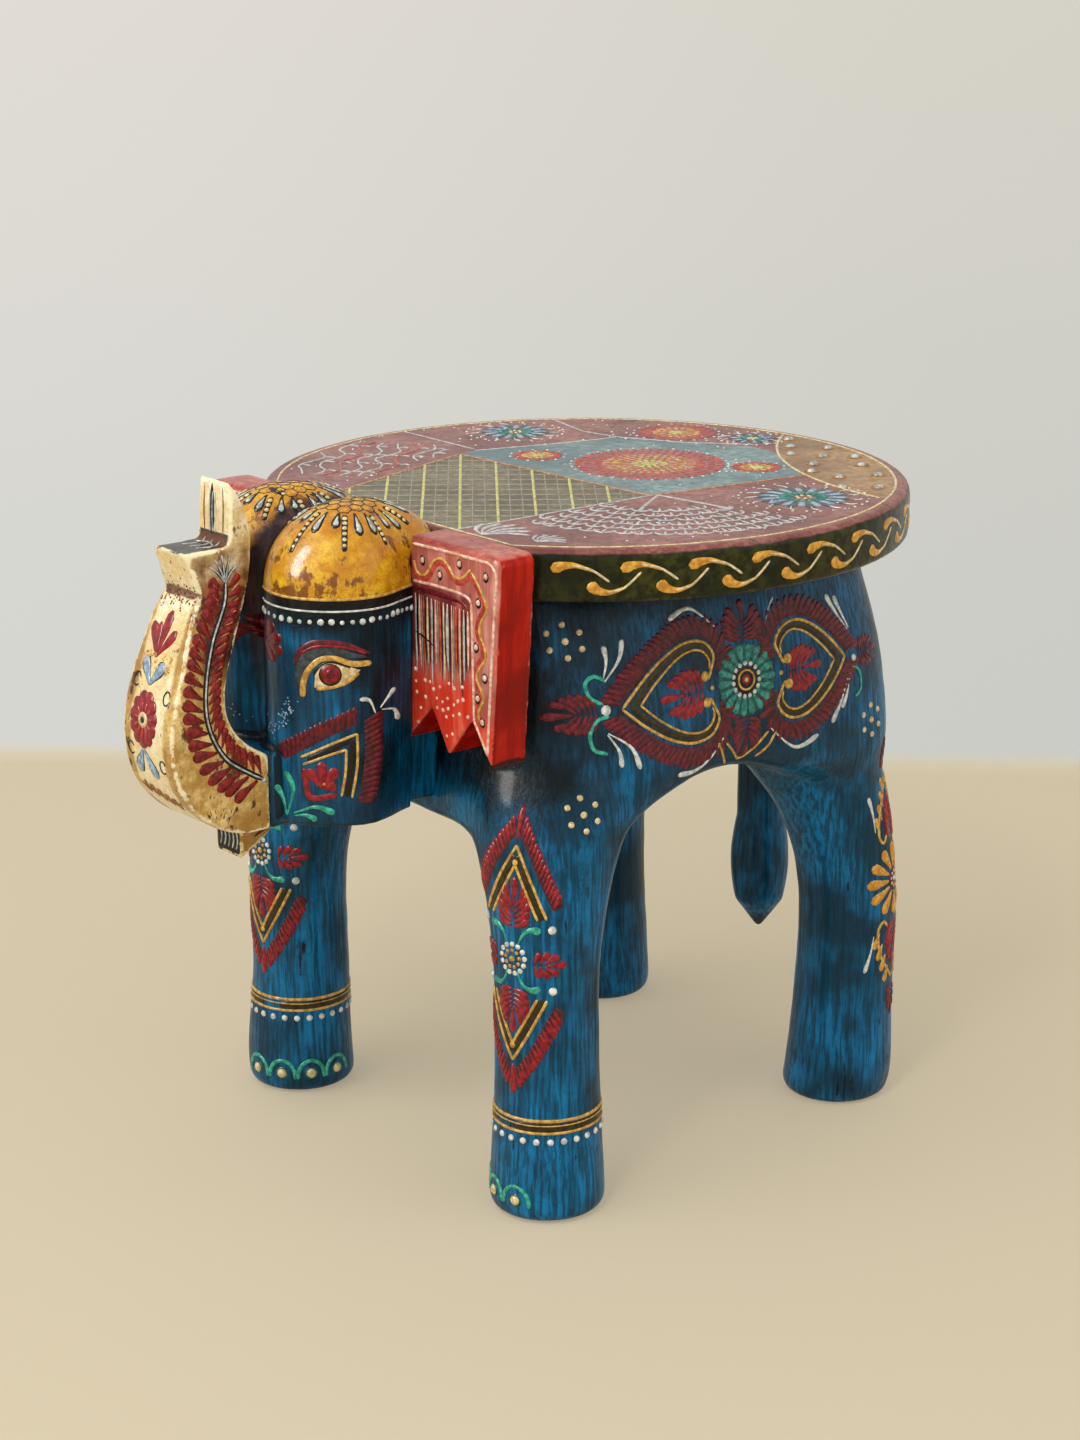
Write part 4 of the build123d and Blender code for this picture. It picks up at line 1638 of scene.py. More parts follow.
# ------------------------------------------------------------------- the pieces
@dataclass
class Body:
    """The torso, the legs and the tail with their painted ornament."""

    place: Place
    flank_centre: Point = (-1, 228.5)
    daisy_radius: float = 17
    front_leg: Point = (94.5, -104.5)
    hind_leg: Point = (90, 87)
    leg_radius: float = 24
    foot_radius: float = 25.2
    nodes: tuple[str, ...] = ("torso", "leg_front_left", "leg_front_right", "leg_hind_left", "leg_hind_right")

    def carve(self, shop: Workshop) -> Piece:
        """Carve the body and the tail in their blues, with painted shade under the seat and beside the ears.

        Args:
            shop: The workshop.

        Returns:
            The body.
        """
        zones = (
            # Painted shade under the seat: the torso a darker blue, partly its own paint, and near black just under
            # the seat.
            (TORSO_BLUE, Between(Axis.Z, 203, FAR, 13, 14, 50)),
            (DEEP_BLUE, Between(Axis.Z, 266, FAR, 8, 7, 60)),
            # Painted shade under and behind the ears: dark blue over the chest's front and the tops of the front legs,
            # black in the nook behind the ears.
            (DEEP_BLUE, Between(Axis.Y, -FAR, -52, 7, 15, 50) & Between(Axis.Z, 190, FAR, 11, 16, 55)),
            (SOOT, Between(Axis.Y, -FAR, -58, 9, 12, 50) & Between(Axis.Z, 232, FAR, 14, 14, 50)),
        )
        paint = shop.paints.zoned("body_paintwork", BLUE, *zones)
        body = shop.carver.carve("body_carved", self.nodes, 2, 0.4, "body_paint", paint, (138, 204))
        paint = shop.paints.zoned("tail_paintwork", BLUE, (DEEP_BLUE, Between(Axis.Z, -FAR, 60, 4, 3)))
        shop.carver.carve("tail_carved", ("tail",), 1, 0.25, "body_paint", paint)
        return body

    def _heart(self, brush: Brush, length: float, face: int) -> None:
        """Paint one heart of the flank.

        Args:
            brush: The flank's brush.
            length: Middle of the daisy to the heart's tip, mm.
            face: 1 towards the rear, -1 towards the front.
        """
        round_end = 24
        stretch = (length - round_end) / 49.3
        outer_half = ((73.3, 0), (62, 9.4), (48.5, 17.6), (35, 22), (23.5, 20.8), (17.8, 14.5), (20, 8.2))
        inner_half = ((63.5, 0), (53, 8.6), (41, 15.6), (31, 18.2), (24, 16.6), (20.6, 12.4), (21.2, 8.6))

        def spot(along: float, off: float) -> Point:
            """Turn a place in the heart into the flank's sheet."""
            reach = along if along < round_end else round_end + (along - round_end) * stretch
            return self.flank_centre[0] + face * reach, self.flank_centre[1] + off

        for side in (1, -1):
            outer, inner = ([spot(a, b * side) for a, b in half] for half in (outer_half, inner_half))
            curl = spot(24.6, 5.8 * side)
            brush.stroke(Hue.GOLD, [*outer, spot(22.2, 4.6 * side), curl], 1.4, 0.6)
            brush.stroke(Hue.GOLD, inner, 1.1, 0.5)
            brush.disc(Hue.GOLD, curl, 2.4, 0.8)
            middle = [((p[0] + q[0]) / 2, (p[1] + q[1]) / 2) for p, q in zip(outer, inner)]
            brush.stroke(Hue.OLIVE, middle, 3.8, 0.18)
            away = -face * side
            path = beside(outer, 1.9 * away)
            brush.stroke(Hue.WINE, beside(path, 3.4 * away), 8, 0.14)
            brush.feathers(Hue.OXBLOOD, path, 9, 2.7, 2.8, -0.6, 0.45, side=away)
        brush.palmette(Hue.CRIMSON, spot(23, 0), spot(52, 0), 12, 3.7, 5)
        brush.bead(Hue.GOLD, spot(20.3, 0), 1.2)

    def daisy(self, brush: Brush) -> None:
        """Paint the flower between the hearts.

        Args:
            brush: The flank's brush.
        """
        middle, rim = self.flank_centre, self.daisy_radius - 0.6
        brush.disc(Hue.DEEP_JADE, middle, self.daisy_radius, 0.2, parts=24)
        turns = [math.radians(20 * k) for k in range(18)]
        brush.wheel(Hue.TEAL, middle, turns, (7, 7), (rim, rim), 3.9, 0.65)
        brush.disc(Hue.SOOT, middle, 8.6, 0.35, parts=20)
        brush.ring(Hue.WHITE, middle, 7.4, 15, 1.25)
        brush.circle(Hue.GOLD, middle, 4.4, 1.1, 0.75)
        brush.disc(Hue.CRIMSON, middle, 2.6, 0.45)
        brush.bead(Hue.CREAM, middle, 1.4)

    def flank(self, work: Palette, mirrored: bool) -> None:
        """Paint one side of the torso.

        Args:
            work: Where the paint goes.
            mirrored: Whether it is the right side.
        """
        brush = Brush(work, FlatChart.toward(self.place.world(0, 0, 0), 90, 200, mirrored))
        cu, cv = self.flank_centre
        self._heart(brush, 73.3, -1)
        self._heart(brush, 62.3, 1)
        self.daisy(brush)
        brush.palmette(Hue.OXBLOOD, (cu, cv + 16), (cu + 0.6, cv + 36), 13, 3.6, 5, 0.4)
        brush.palmette(Hue.OXBLOOD, (cu, cv - 15), (cu - 2.5, cv - 36), 9.5, 3.2, 5, 0.4)
        sprigs = (
            ((-15.1, 202.6), (-9.6, 196.6), (-5.2, 192.8), (2.2, 196.8), (10.8, 202.9)),
            ((-20, 203.4), (-16.4, 196.2), (-12.6, 191.5)),
            ((15.4, 202.6), (11, 196.6), (4.6, 191.9)),
        )
        brush.strokes(Hue.GOLD, sprigs, 1.2, 0.5)
        brush.palmette(Hue.OXBLOOD, (-84, 229), (-108, 228), 9.6, 3.4, 5, 0.45)
        brush.bead(Hue.WHITE, (-82.2, 229.2), 2.5)
        hooks = (
            ((-80.8, 241.8), (-85.6, 244), (-89.6, 241.4), (-88.6, 235.4), (-83.2, 231.8)),
            ((-81, 226.4), (-86.8, 225.2), (-90.6, 219.4), (-89.4, 213), (-83.4, 210.4)),
        )
        brush.strokes(Hue.JADE, hooks, 1.8, 0.5)
        commas = (
            ((-79.3, 256.2), (-79, 249.4), (-81.4, 242.4)),
            ((-69.8, 257.8), (-72.8, 249.6), (-81, 241.2)),
            ((-76.8, 203.6), (-77.6, 210.8), (-82.6, 218.6)),
            ((-67.2, 201.2), (-71.2, 211.2), (-82.2, 219.2)),
            ((-45.2, 193.8), (-31, 194), (-15.4, 206)),
            ((41.4, 195.4), (27, 192.4), (11.6, 204.6)),
            ((-43, 262), (-29.4, 264.6), (-15.7, 254.4)),
            ((57.4, 205), (61, 211), (64.2, 220)),
            ((50.6, 199.4), (56, 207.4), (63, 219.4)),
            ((58.2, 256.2), (62, 248.6), (66.4, 240.4)),
            ((52.6, 258), (58.2, 249), (65.4, 239.8)),
        )
        brush.strokes(Hue.WHITE, commas, 2.8, 0.6, Touch.COMMA)
        brush.stroke(Hue.WHITE, ((18.6, 262.6), (15.2, 258.4), (13, 253.4)), 1, 0.5, Touch.COMMA)
        brush.stroke(Hue.JADE, ((66, 222.8), (71.4, 219.8), (72.2, 211.4), (67.6, 208.4)), 1.2, 0.5)
        brush.bead(Hue.WHITE, (67.8, 226.4), 1.8)
        brush.palmette(Hue.OXBLOOD, (70.6, 227.6), (88, 228.4), 8, 2.8, 4, 0.45)
        for centre in ((-94.6, 259.5), (-99.5, 187), (79.6, 194.6)):
            brush.rosette(Hue.CREAM, centre, 1.5)

    def front_leg_motif(self, work: Palette, bearing: float, mirrored: bool) -> None:
        """Paint the diamond, bands and toenails of one front leg.

        Args:
            work: Where the paint goes.
            bearing: Direction that the diamond faces, degrees.
            mirrored: Whether it is the right leg.
        """
        axis, middle, lower_share = self.place.world(*self.front_leg, 0), 123.6, 0.93
        brush = Brush(work, RoundChart(axis, self.leg_radius, bearing, mirrored=mirrored))
        for up in (1, -1):
            rise = 1 if up > 0 else lower_share

            def quarter(side: int, *points: Point) -> list[Point]:
                """Turn points of a quarter of the diamond into the leg's sheet."""
                return [(side * u, middle + up * v * rise) for u, v in points]

            for side in (1, -1):
                border, turn = quarter(side, (0.8, 57), (9.6, 43.6), (20.6, 22.4)), side * up
                brush.stroke(Hue.WINE, beside(border, 2.6 * turn), 7, 0.14)
                brush.feathers(Hue.CRIMSON, border, 6.8, 2.5, 2.6, -0.6, 0.6, side=turn)
                brush.stroke(Hue.GOLD, quarter(side, (0, 51), (8.6, 36), (17, 19)), 1.5, 0.65)
                brush.stroke(Hue.GOLD, quarter(side, (0, 42.4), (6.2, 31), (12.6, 18.6)), 1.5, 0.65)
                brush.stroke(Hue.OLIVE, quarter(side, (0.4, 46.4), (7.4, 33.4), (14.8, 18.8)), 4, 0.2)
                hook = quarter(side, (14.2, 13.8), (8.6, 14), (5, 11), (3, 6.4))
                brush.stroke(Hue.JADE, hook, 3.6, 0.6, Touch.COMMA)
                brush.bead(Hue.WHITE, *quarter(side, (19.6, 14.4)), 2)
            brush.petal(Hue.CRIMSON, *quarter(1, (0, 53), (0, 68)), 4.6, 0.6)
            brush.palmette(Hue.CRIMSON, *quarter(1, (0, 12), (0, 37)), 9.8, 3.9, 5, 0.6)
            brush.disc(Hue.GOLD, *quarter(1, (0, 43.4)), 1.5, 0.75)
        for side in (1, -1):
            root, tip = ((side * reach, middle - 1.4) for reach in (9, 26))
            brush.palmette(Hue.CRIMSON, root, tip, 6.4, 3.4, 3, 0.6)
        brush.ring(Hue.WHITE, (0, middle), 6.6, 13, 1.3)
        brush.ring(Hue.AMBER, (0, middle), 3.9, 9, 0.95)
        brush.bead(Hue.GOLD, (0, middle), 1.5)
        self.anklet(Brush(work, RoundChart(axis, self.foot_radius, bearing, mirrored=mirrored)))
        for u in (3.2, -10.4, -24, -37.6):
            brush.stroke(Hue.JADE, arc((u, 9), 6.2, -8, 188, 12, 1.3), 1.9, 0.55)
            brush.disc(Hue.DEEP_JADE, (u, 10.6), 3.4, 0.25)
            brush.bead(Hue.CREAM, (u, 10.6), 2.5)

    def anklet(self, brush: Brush) -> None:
        """Paint the two gold rings, the brown band and the dots above a foot.

        Args:
            brush: A brush that goes round the leg.
        """
        turn, band_parts, dots = 2 * math.pi * self.foot_radius, 16, 25
        brush.stroke(Hue.OLIVE, [(turn * k / band_parts, 45.9) for k in range(band_parts)], 4.6, 0.2)
        for level, width in ((49, 1.9), (43.4, 1.6), (46.8, 0.7)):
            brush.hoop(Hue.GOLD, level, width, 0.6)
        for k in range(dots):
            brush.bead(Hue.WHITE, (turn * k / dots, 39.4), 1.6)

    def hind_leg_motif(self, work: Palette, mirrored: bool) -> None:
        """Paint the flower on the outer rear of one hind leg.

        Args:
            work: Where the paint goes.
            mirrored: Whether it is the right leg.
        """
        chart = RoundChart(self.place.world(*self.hind_leg, 0), self.leg_radius, 118, mirrored=mirrored)
        brush, middle = Brush(work, chart), 112
        brush.wheel(Hue.AMBER, (0, middle), (math.radians(30 * k) for k in range(12)), (6, 6), (20, 18), 5.4, 0.6)
        brush.disc(Hue.OXBLOOD, (0, middle), 5.4, 0.4)
        brush.ring(Hue.CREAM, (0, middle), 3.6, 9, 1)
        brush.bead(Hue.WHITE, (0, middle), 1.6)
        for up in (1, -1):

            def half(*points: Point) -> list[Point]:
                """Turn points of half the flower into the leg's sheet."""
                return [(u, middle + up * v) for u, v in points]

            brush.palmette(Hue.CRIMSON, *half((0, 18), (0, 44)), 8, 3.4, 5)
            brush.palmette(Hue.OXBLOOD, *half((0, 52), (0, 70)), 6, 3, 3)
            for side in (1, -1):
                curl = ((1, 50), (10, 38), (13, 25), (9.4, 19.6), (6.6, 23))
                brush.stroke(Hue.GOLD, half(*((side * u, v) for u, v in curl)), 1.5, 0.55)
                for k in range(4):
                    foot = half((side * (12 - 2.4 * k), 25 + 6 * k))[0]
                    brush.petal(Hue.AMBER, foot, (foot[0] + side * 3, foot[1] + up * 8), 3.6, 0.5)
                comma = half((side * 20, 44), (side * 17, 35), (side * 15.4, 26))
                brush.stroke(Hue.WHITE, comma, 2.4, 0.55, Touch.COMMA)

    def rump(self, work: Palette) -> None:
        """Paint the rear, either side of the tail.

        Args:
            work: Where the paint goes.
        """
        level = 229
        for mirrored in (False, True):
            brush = Brush(work, FlatChart.toward(self.place.world(0, 0, 0), 180, 220, mirrored))
            brush.palmette(Hue.OXBLOOD, (-30, level), (-64, level), 12, 2.4, 6, 0.4)
            brush.palmette(Hue.CRIMSON, (-34, level), (-56, level), 7, 2, 4)
            brush.bead(Hue.WHITE, (-27, level), 2)
            for up in (1, -1):
                for hue, points, width, touch in (
                    (Hue.GOLD, ((-26, 5), (-36, 15), (-52, 14), (-70, 0)), 1.1, Touch.LINE),
                    (Hue.JADE, ((-22, 8), (-24, 17), (-33, 20)), 1.4, Touch.LINE),
                    (Hue.WHITE, ((-72, 18), (-62, 20), (-48, 18)), 2.2, Touch.COMMA),
                ):
                    brush.stroke(hue, [(u, level + up * v) for u, v in points], width, 0.5, touch)
            brush.rosette(Hue.CREAM, (-52, 195), 1.4)

    def build(self, shop: Workshop) -> None:
        """Carve the body and lay all its ornament.

        Args:
            shop: The workshop.
        """
        surface = self.carve(shop)
        sides, legs = (Palette(part, "body_paint", surface) for part in ("flank", "legs"))
        for mirrored in (False, True):
            self.flank(sides, mirrored)
        self.rump(sides)
        sides.lay(shop)
        self.front_leg_motif(legs, 10, False)
        self.front_leg_motif(legs, -6, True)
        for mirrored in (False, True):
            self.hind_leg_motif(legs, mirrored)
        legs.lay(shop)


@dataclass
class SeatBoard:
    """The round seat with its painted top and scrolled rim."""

    place: Place
    radius: float = 150
    top: float = 303
    face_setback: float = 119
    line_inset: float = 6.5
    scroll_pitch: float = 11.25
    scroll_start: float = 44.2
    lattice: tuple[Point, ...] = ((-80, -12), (-45, -122), (47, -122), (50.5, -5.5))
    pool: tuple[Point, ...] = ((-82, -1), (-80, -12), (50.5, -5.5), (57, 36), (64, 79), (30, 104), (0, 108), (-62, 74))
    sand_centre: Point = (121.4, 232.8)
    sand_radius: float = 163
    fan_hub: Point = (52, -2)
    medallions: tuple = (((-3, 42), 36), ((-53, 14.5), 12), ((36, 75), 12), ((-52, 104), 20))
    flowers: tuple = (((98, 45), 23, 15), ((-106, 44), 19, 13), ((-16, 122), 13, 10))
    stud_places: tuple[Point, ...] = (
        (-3, 134.8), (24.4, 109.3), (25.6, 133.3), (37.9, 117.6), (48.6, 100.8), (49.6, 127.5), (65.1, 116.4),
        (77.4, 88.5), (94, 74), (86.1, 105.5), (106, 85.5), (60, 88), (11, 122),
    )

    def _framed(self, *points: Point) -> list[Point]:
        """Turn seat-centred points into millimetres of the frame."""
        return [tuple(c / MM for c in self.place.world(u, v, 0).xy) for u, v in points]

    def carve(self, shop: Workshop) -> Piece:
        """Carve the board; paint its rim olive and its top in four colours.

        Args:
            shop: The workshop.

        Returns:
            The board.
        """
        top = Between(Axis.Z, self.top - 1.8, FAR, 0.5, 0.9)
        middle, sand = self._framed((0, 0), self.sand_centre)
        behind_face = Between(Axis.Y, -self.face_setback + self.place.seat_y + 4, FAR)
        zones = (
            (SEAT_ROSE, top),
            (SEAT_BLUE, top & Inside(self._framed(*self.pool))),
            (SEAT_OLIVE, top & Inside(self._framed(*self.lattice)) & behind_face),
            (SEAT_TAN, top & Within(middle, self.radius - self.line_inset) & Within(sand, self.sand_radius)),
        )
        paint = shop.paints.zoned("seat_paintwork", OLIVE, *zones)
        return shop.carver.carve("seat_carved", ("seat_board",), 1.5, 0.08, "seat_paint", paint)

    def rim(self, work: Palette) -> None:
        """Paint the comma scrolls round the rim.

        Args:
            work: Where the paint goes.
        """
        brush = Brush(work, RoundChart(self.place.world(0, 0, 0), self.radius, 0, 30))
        scroll = (
            (Hue.AMBER, ((0, -9.6), (1, -7.4), (8, -6.4), (16.5, -9)), 5.4, Touch.COMMA),
            (Hue.AMBER, ((14.6, -14), (17.4, -17), (23, -18.2), (30, -16)), 5.4, Touch.COMMA),
            (Hue.CREAM, ((7, -6.4), (15, -8.2), (23, -13.6)), 1.1, Touch.LINE),
            (Hue.CREAM, ((22, -18), (29, -16.4), (36.5, -9.6)), 1.1, Touch.LINE),
        )
        turn = self.scroll_start
        while turn < 360 - self.scroll_start:
            start = turn * math.radians(self.radius)
            for hue, points, width, touch in scroll:
                brush.stroke(hue, [(start + u, self.top + v) for u, v in points], width, 0.35, touch)
            turn += self.scroll_pitch

    def _inside(self, u: float, v: float) -> bool:
        """Whether a point lies well inside the seat's top."""
        return math.hypot(u, v) < self.radius - self.line_inset - 2 and v > -self.face_setback + 5

    def _in_lattice(self, u: float, v: float) -> bool:
        """Whether a point lies in the olive field or touches it."""
        return v < -5 and -82 + (-12 - v) * 0.33 < u < 53

    def fields(self, brush: Brush) -> None:
        """Paint the lines that bound the coloured fields.

        Args:
            brush: The seat top's brush.
        """
        ring, front = self.radius - self.line_inset, self.face_setback - 4
        edge = math.degrees(math.asin(front / ring))
        outline = arc((0, 0), ring, -edge, 180 + edge, 72)
        brush.stroke(Hue.CREAM, outline, 1.3, 0.3, step=3)
        brush.stroke(Hue.CREAM, (outline[0], (0, -front), outline[-1]), 1.2, 0.3, step=3)
        shore = [p for p in arc(self.sand_centre, self.sand_radius, 180, 270, 60) if math.hypot(*p) < ring]
        brush.stroke(Hue.CREAM, shore, 1.4, 0.35, step=3)
        line, pool = self.lattice, self.pool
        for hue, points in (
            (Hue.MIST, (pool[7], (-70, 36), pool[0])),
            (Hue.MIST, (pool[7], (-30, 90), (-4, 112))),
            (Hue.PEACH, (line[0], line[3], pool[3], pool[4])),
            (Hue.PEACH, (line[0], (-47, -114.5))),
            (Hue.MIST, (line[3], (47.2, -114.5))),
            (Hue.MIST, ((-143, 2), (-84.7, 0.8))),
            (Hue.MIST, ((-120, 80), (-85, 70.6), pool[7])),
        ):
            brush.strokes(hue, zip(points, points[1:]), 1.1, 0.3, step=3)

    def lattice_lines(self, brush: Brush) -> None:
        """Rule the olive field with long lemon lines and fine grey ones.

        Args:
            brush: The seat top's brush.
        """
        corners = (self.lattice[0], (-47, -114), (46.8, -114), self.lattice[3])
        reach, shortest = 16, 6
        for hue, pitch, course, width, height in (
            (Hue.LEMON, 16.8, -38.5, 1.4, 0.3), (Hue.TAUPE, 11, 51, 2.6, 0.12), (Hue.TAUPE, 5.6, -38.5, 0.6, 0.12),
        ):
            eu, ev = math.cos(math.radians(course)), math.sin(math.radians(course))
            for shift in ((k + 0.5) * pitch for k in range(-reach, reach + 1)):
                cuts = []
                for (x0, y0), (x1, y1) in zip(corners, corners[1:] + corners[:1]):
                    near, far = (eu * y - ev * x - shift for x, y in ((x0, y0), (x1, y1)))
                    if near * far < 0:
                        share = near / (near - far)
                        cuts.append((x0 + (x1 - x0) * share, y0 + (y1 - y0) * share))
                if len(cuts) == 2 and math.dist(*cuts) > shortest:
                    brush.stroke(hue, cuts, width, height, step=4)

    def medallion(self, brush: Brush, centre: Point, radius: float) -> None:
        """Paint a many-petalled flower, gold in the middle and rose outside.

        Args:
            brush: The seat top's brush.
            centre: Its middle.
            radius: Its radius, mm.
        """
        hues = (Hue.LEMON, Hue.PEACH, Hue.GOLD, Hue.PEACH, Hue.ROSE, Hue.DUSK, Hue.ROSE)
        rings, length, pitch = max(2, round(radius / 4.4)), 4.2, 4.2
        brush.disc(Hue.DUSK, centre, radius - 1, 0.12, parts=28)
        for k in range(rings):
            reach = radius * (k + 1) / rings
            turns = spokes(max(6, round(2 * math.pi * reach / pitch)), 0.5 * (k % 2))
            inner, hue = reach - length, hues[min(6, int(7 * k / rings))]
            brush.wheel(hue, centre, turns, (inner, inner), (reach, reach), 3.1, 0.3)
        brush.ring(Hue.WHITE, centre, radius + 1.5, round(radius), 0.7)

    def filigree(self, brush: Brush, rng: random.Random) -> None:
        """Draw pale scales, tendrils, flowers and dots over the rose fields.

        Args:
            brush: The seat top's brush.
            rng: Where the chances come from.
        """
        self.scales(brush, rng)
        self.tendrils(brush, rng)
        for centre, radius, count in self.flowers:
            self.flower(brush, centre, radius, count)
        for root, size in (((62, -112), 1), ((88, -103), 0.6)):
            for k in range(6):
                tip = polar(root, math.radians(140 - 19 * k), 24 * size * (1 - 0.05 * abs(k - 2)))
                brush.petal(Hue.MIST, root, tip, 2.6 * size, 0.3, 0.15)
        for _ in range(330):
            u, v = rng.uniform(-140, 140), rng.uniform(-112, 140)
            on_sand = math.dist((u, v), self.sand_centre) <= self.sand_radius + 3
            if self._inside(u, v) and not self._in_lattice(u, v) and not on_sand:
                brush.bead(Hue.WHITE, (u, v), rng.uniform(0.35, 0.75))

    def scales(self, brush: Brush, rng: random.Random) -> None:
        """Draw rows of scales that fan out between the olive field and the rim.

        Args:
            brush: The seat top's brush.
            rng: Where the chances come from.
        """
        hub, width, fan = self.fan_hub, 8.4, 104
        for row in range(6):
            reach = 30 + 9 * row
            step = math.degrees(width / reach)
            for k in range(int(fan / step)):
                turn = math.radians(-88 + step * (k + 0.5 * (row % 2)) + rng.uniform(-1, 1))
                centre, way = polar(hub, turn, reach), math.degrees(turn)
                if not self._inside(centre[0] + 3, centre[1] - 3) or math.dist(centre, self.flowers[0][0]) < 31:
                    continue
                brush.stroke(Hue.MIST, arc(centre, 4.5, way - 95, way + 95, 7), 1.2, 0.35)
                brush.petal(Hue.MIST, polar(centre, turn, -3), polar(centre, turn, 3.2), 1.6, 0.3)
        brush.strokes(Hue.MIST, ((hub, (95, 4)), (hub, (71, -31))), 1.6, 0.35, step=3)

    def tendrils(self, brush: Brush, rng: random.Random) -> None:
        """Draw wavy pale lines in the field on the right of the head.

        Args:
            brush: The seat top's brush.
            rng: Where the chances come from.
        """
        for k in range(9):
            path = []
            for j in range(9):
                along = -40 + 10 * j
                off = -34 + 8 * k + 3.2 * math.sin(j * 1.7 + k * 0.9) + rng.uniform(-0.8, 0.8)
                u, v = -98 + 0.62 * along + 0.78 * off, -52 - 0.78 * along + 0.62 * off
                if self._inside(u, v) and not self._in_lattice(u + 3, v) and v < -6:
                    path.append((u, v))
            if len(path) > 2:
                brush.stroke(Hue.MIST if k % 3 else Hue.ROSE, path, 1.1, 0.3)
                for u, v in path[1:-1:2]:
                    brush.petal(Hue.MIST, (u, v), (u + 4.5, v + 3), 1.8, 0.28, 0.3)

    def flower(self, brush: Brush, centre: Point, radius: float, count: int) -> None:
        """Paint a blue flower with dark gaps, pale outlines and a ring of dots.

        Args:
            brush: The seat top's brush.
            centre: Its middle.
            radius: Its radius, mm.
            count: Number of its petals.
        """
        for hue, share, width, height, start in (
            (Hue.SLATE, 1, 0.24, 0.15, 0.5), (Hue.SKY, 0.86, 0.17, 0.3, 0), (Hue.TEAL, 0.5, 0.15, 0.38, 0),
        ):
            for turn in spokes(count, start):
                du, dv = math.cos(turn) * radius, math.sin(turn) * radius
                foot, tip = ((centre[0] + du * reach, centre[1] + dv * reach) for reach in (0.22, share))
                brush.petal(hue, foot, tip, radius * width, height)
        for turn in spokes(count, 0.5):
            spots = ((0.9, 0), (1.1, 1), (1.16, 3.2))
            bow = [polar(polar(centre, turn, radius * reach), turn + math.pi / 2, off) for reach, off in spots]
            brush.stroke(Hue.WHITE, bow, 0.8, 0.3)
        brush.ring(Hue.WHITE, centre, radius * 1.28, 2 * count, 0.75)
        brush.ring(Hue.CREAM, centre, radius * 0.14, 6, 0.9)

    def build(self, shop: Workshop) -> None:
        """Carve the seat and lay all its ornament.

        Args:
            shop: The workshop.
        """
        work = Palette("seat", "seat_paint", self.carve(shop))
        brush = Brush(work, FlatChart.above(self.place, self.top + 40))
        self.rim(work)
        self.fields(brush)
        self.lattice_lines(brush)
        for centre, radius in self.medallions:
            self.medallion(brush, centre, radius)
        self.filigree(brush, random.Random(7))
        for spot in self.stud_places:
            brush.bead(Hue.SILVER, spot, 2.4)
            brush.circle(Hue.OCHRE, spot, 3.2, 1.6, 0.25, parts=10)
        work.lay(shop)


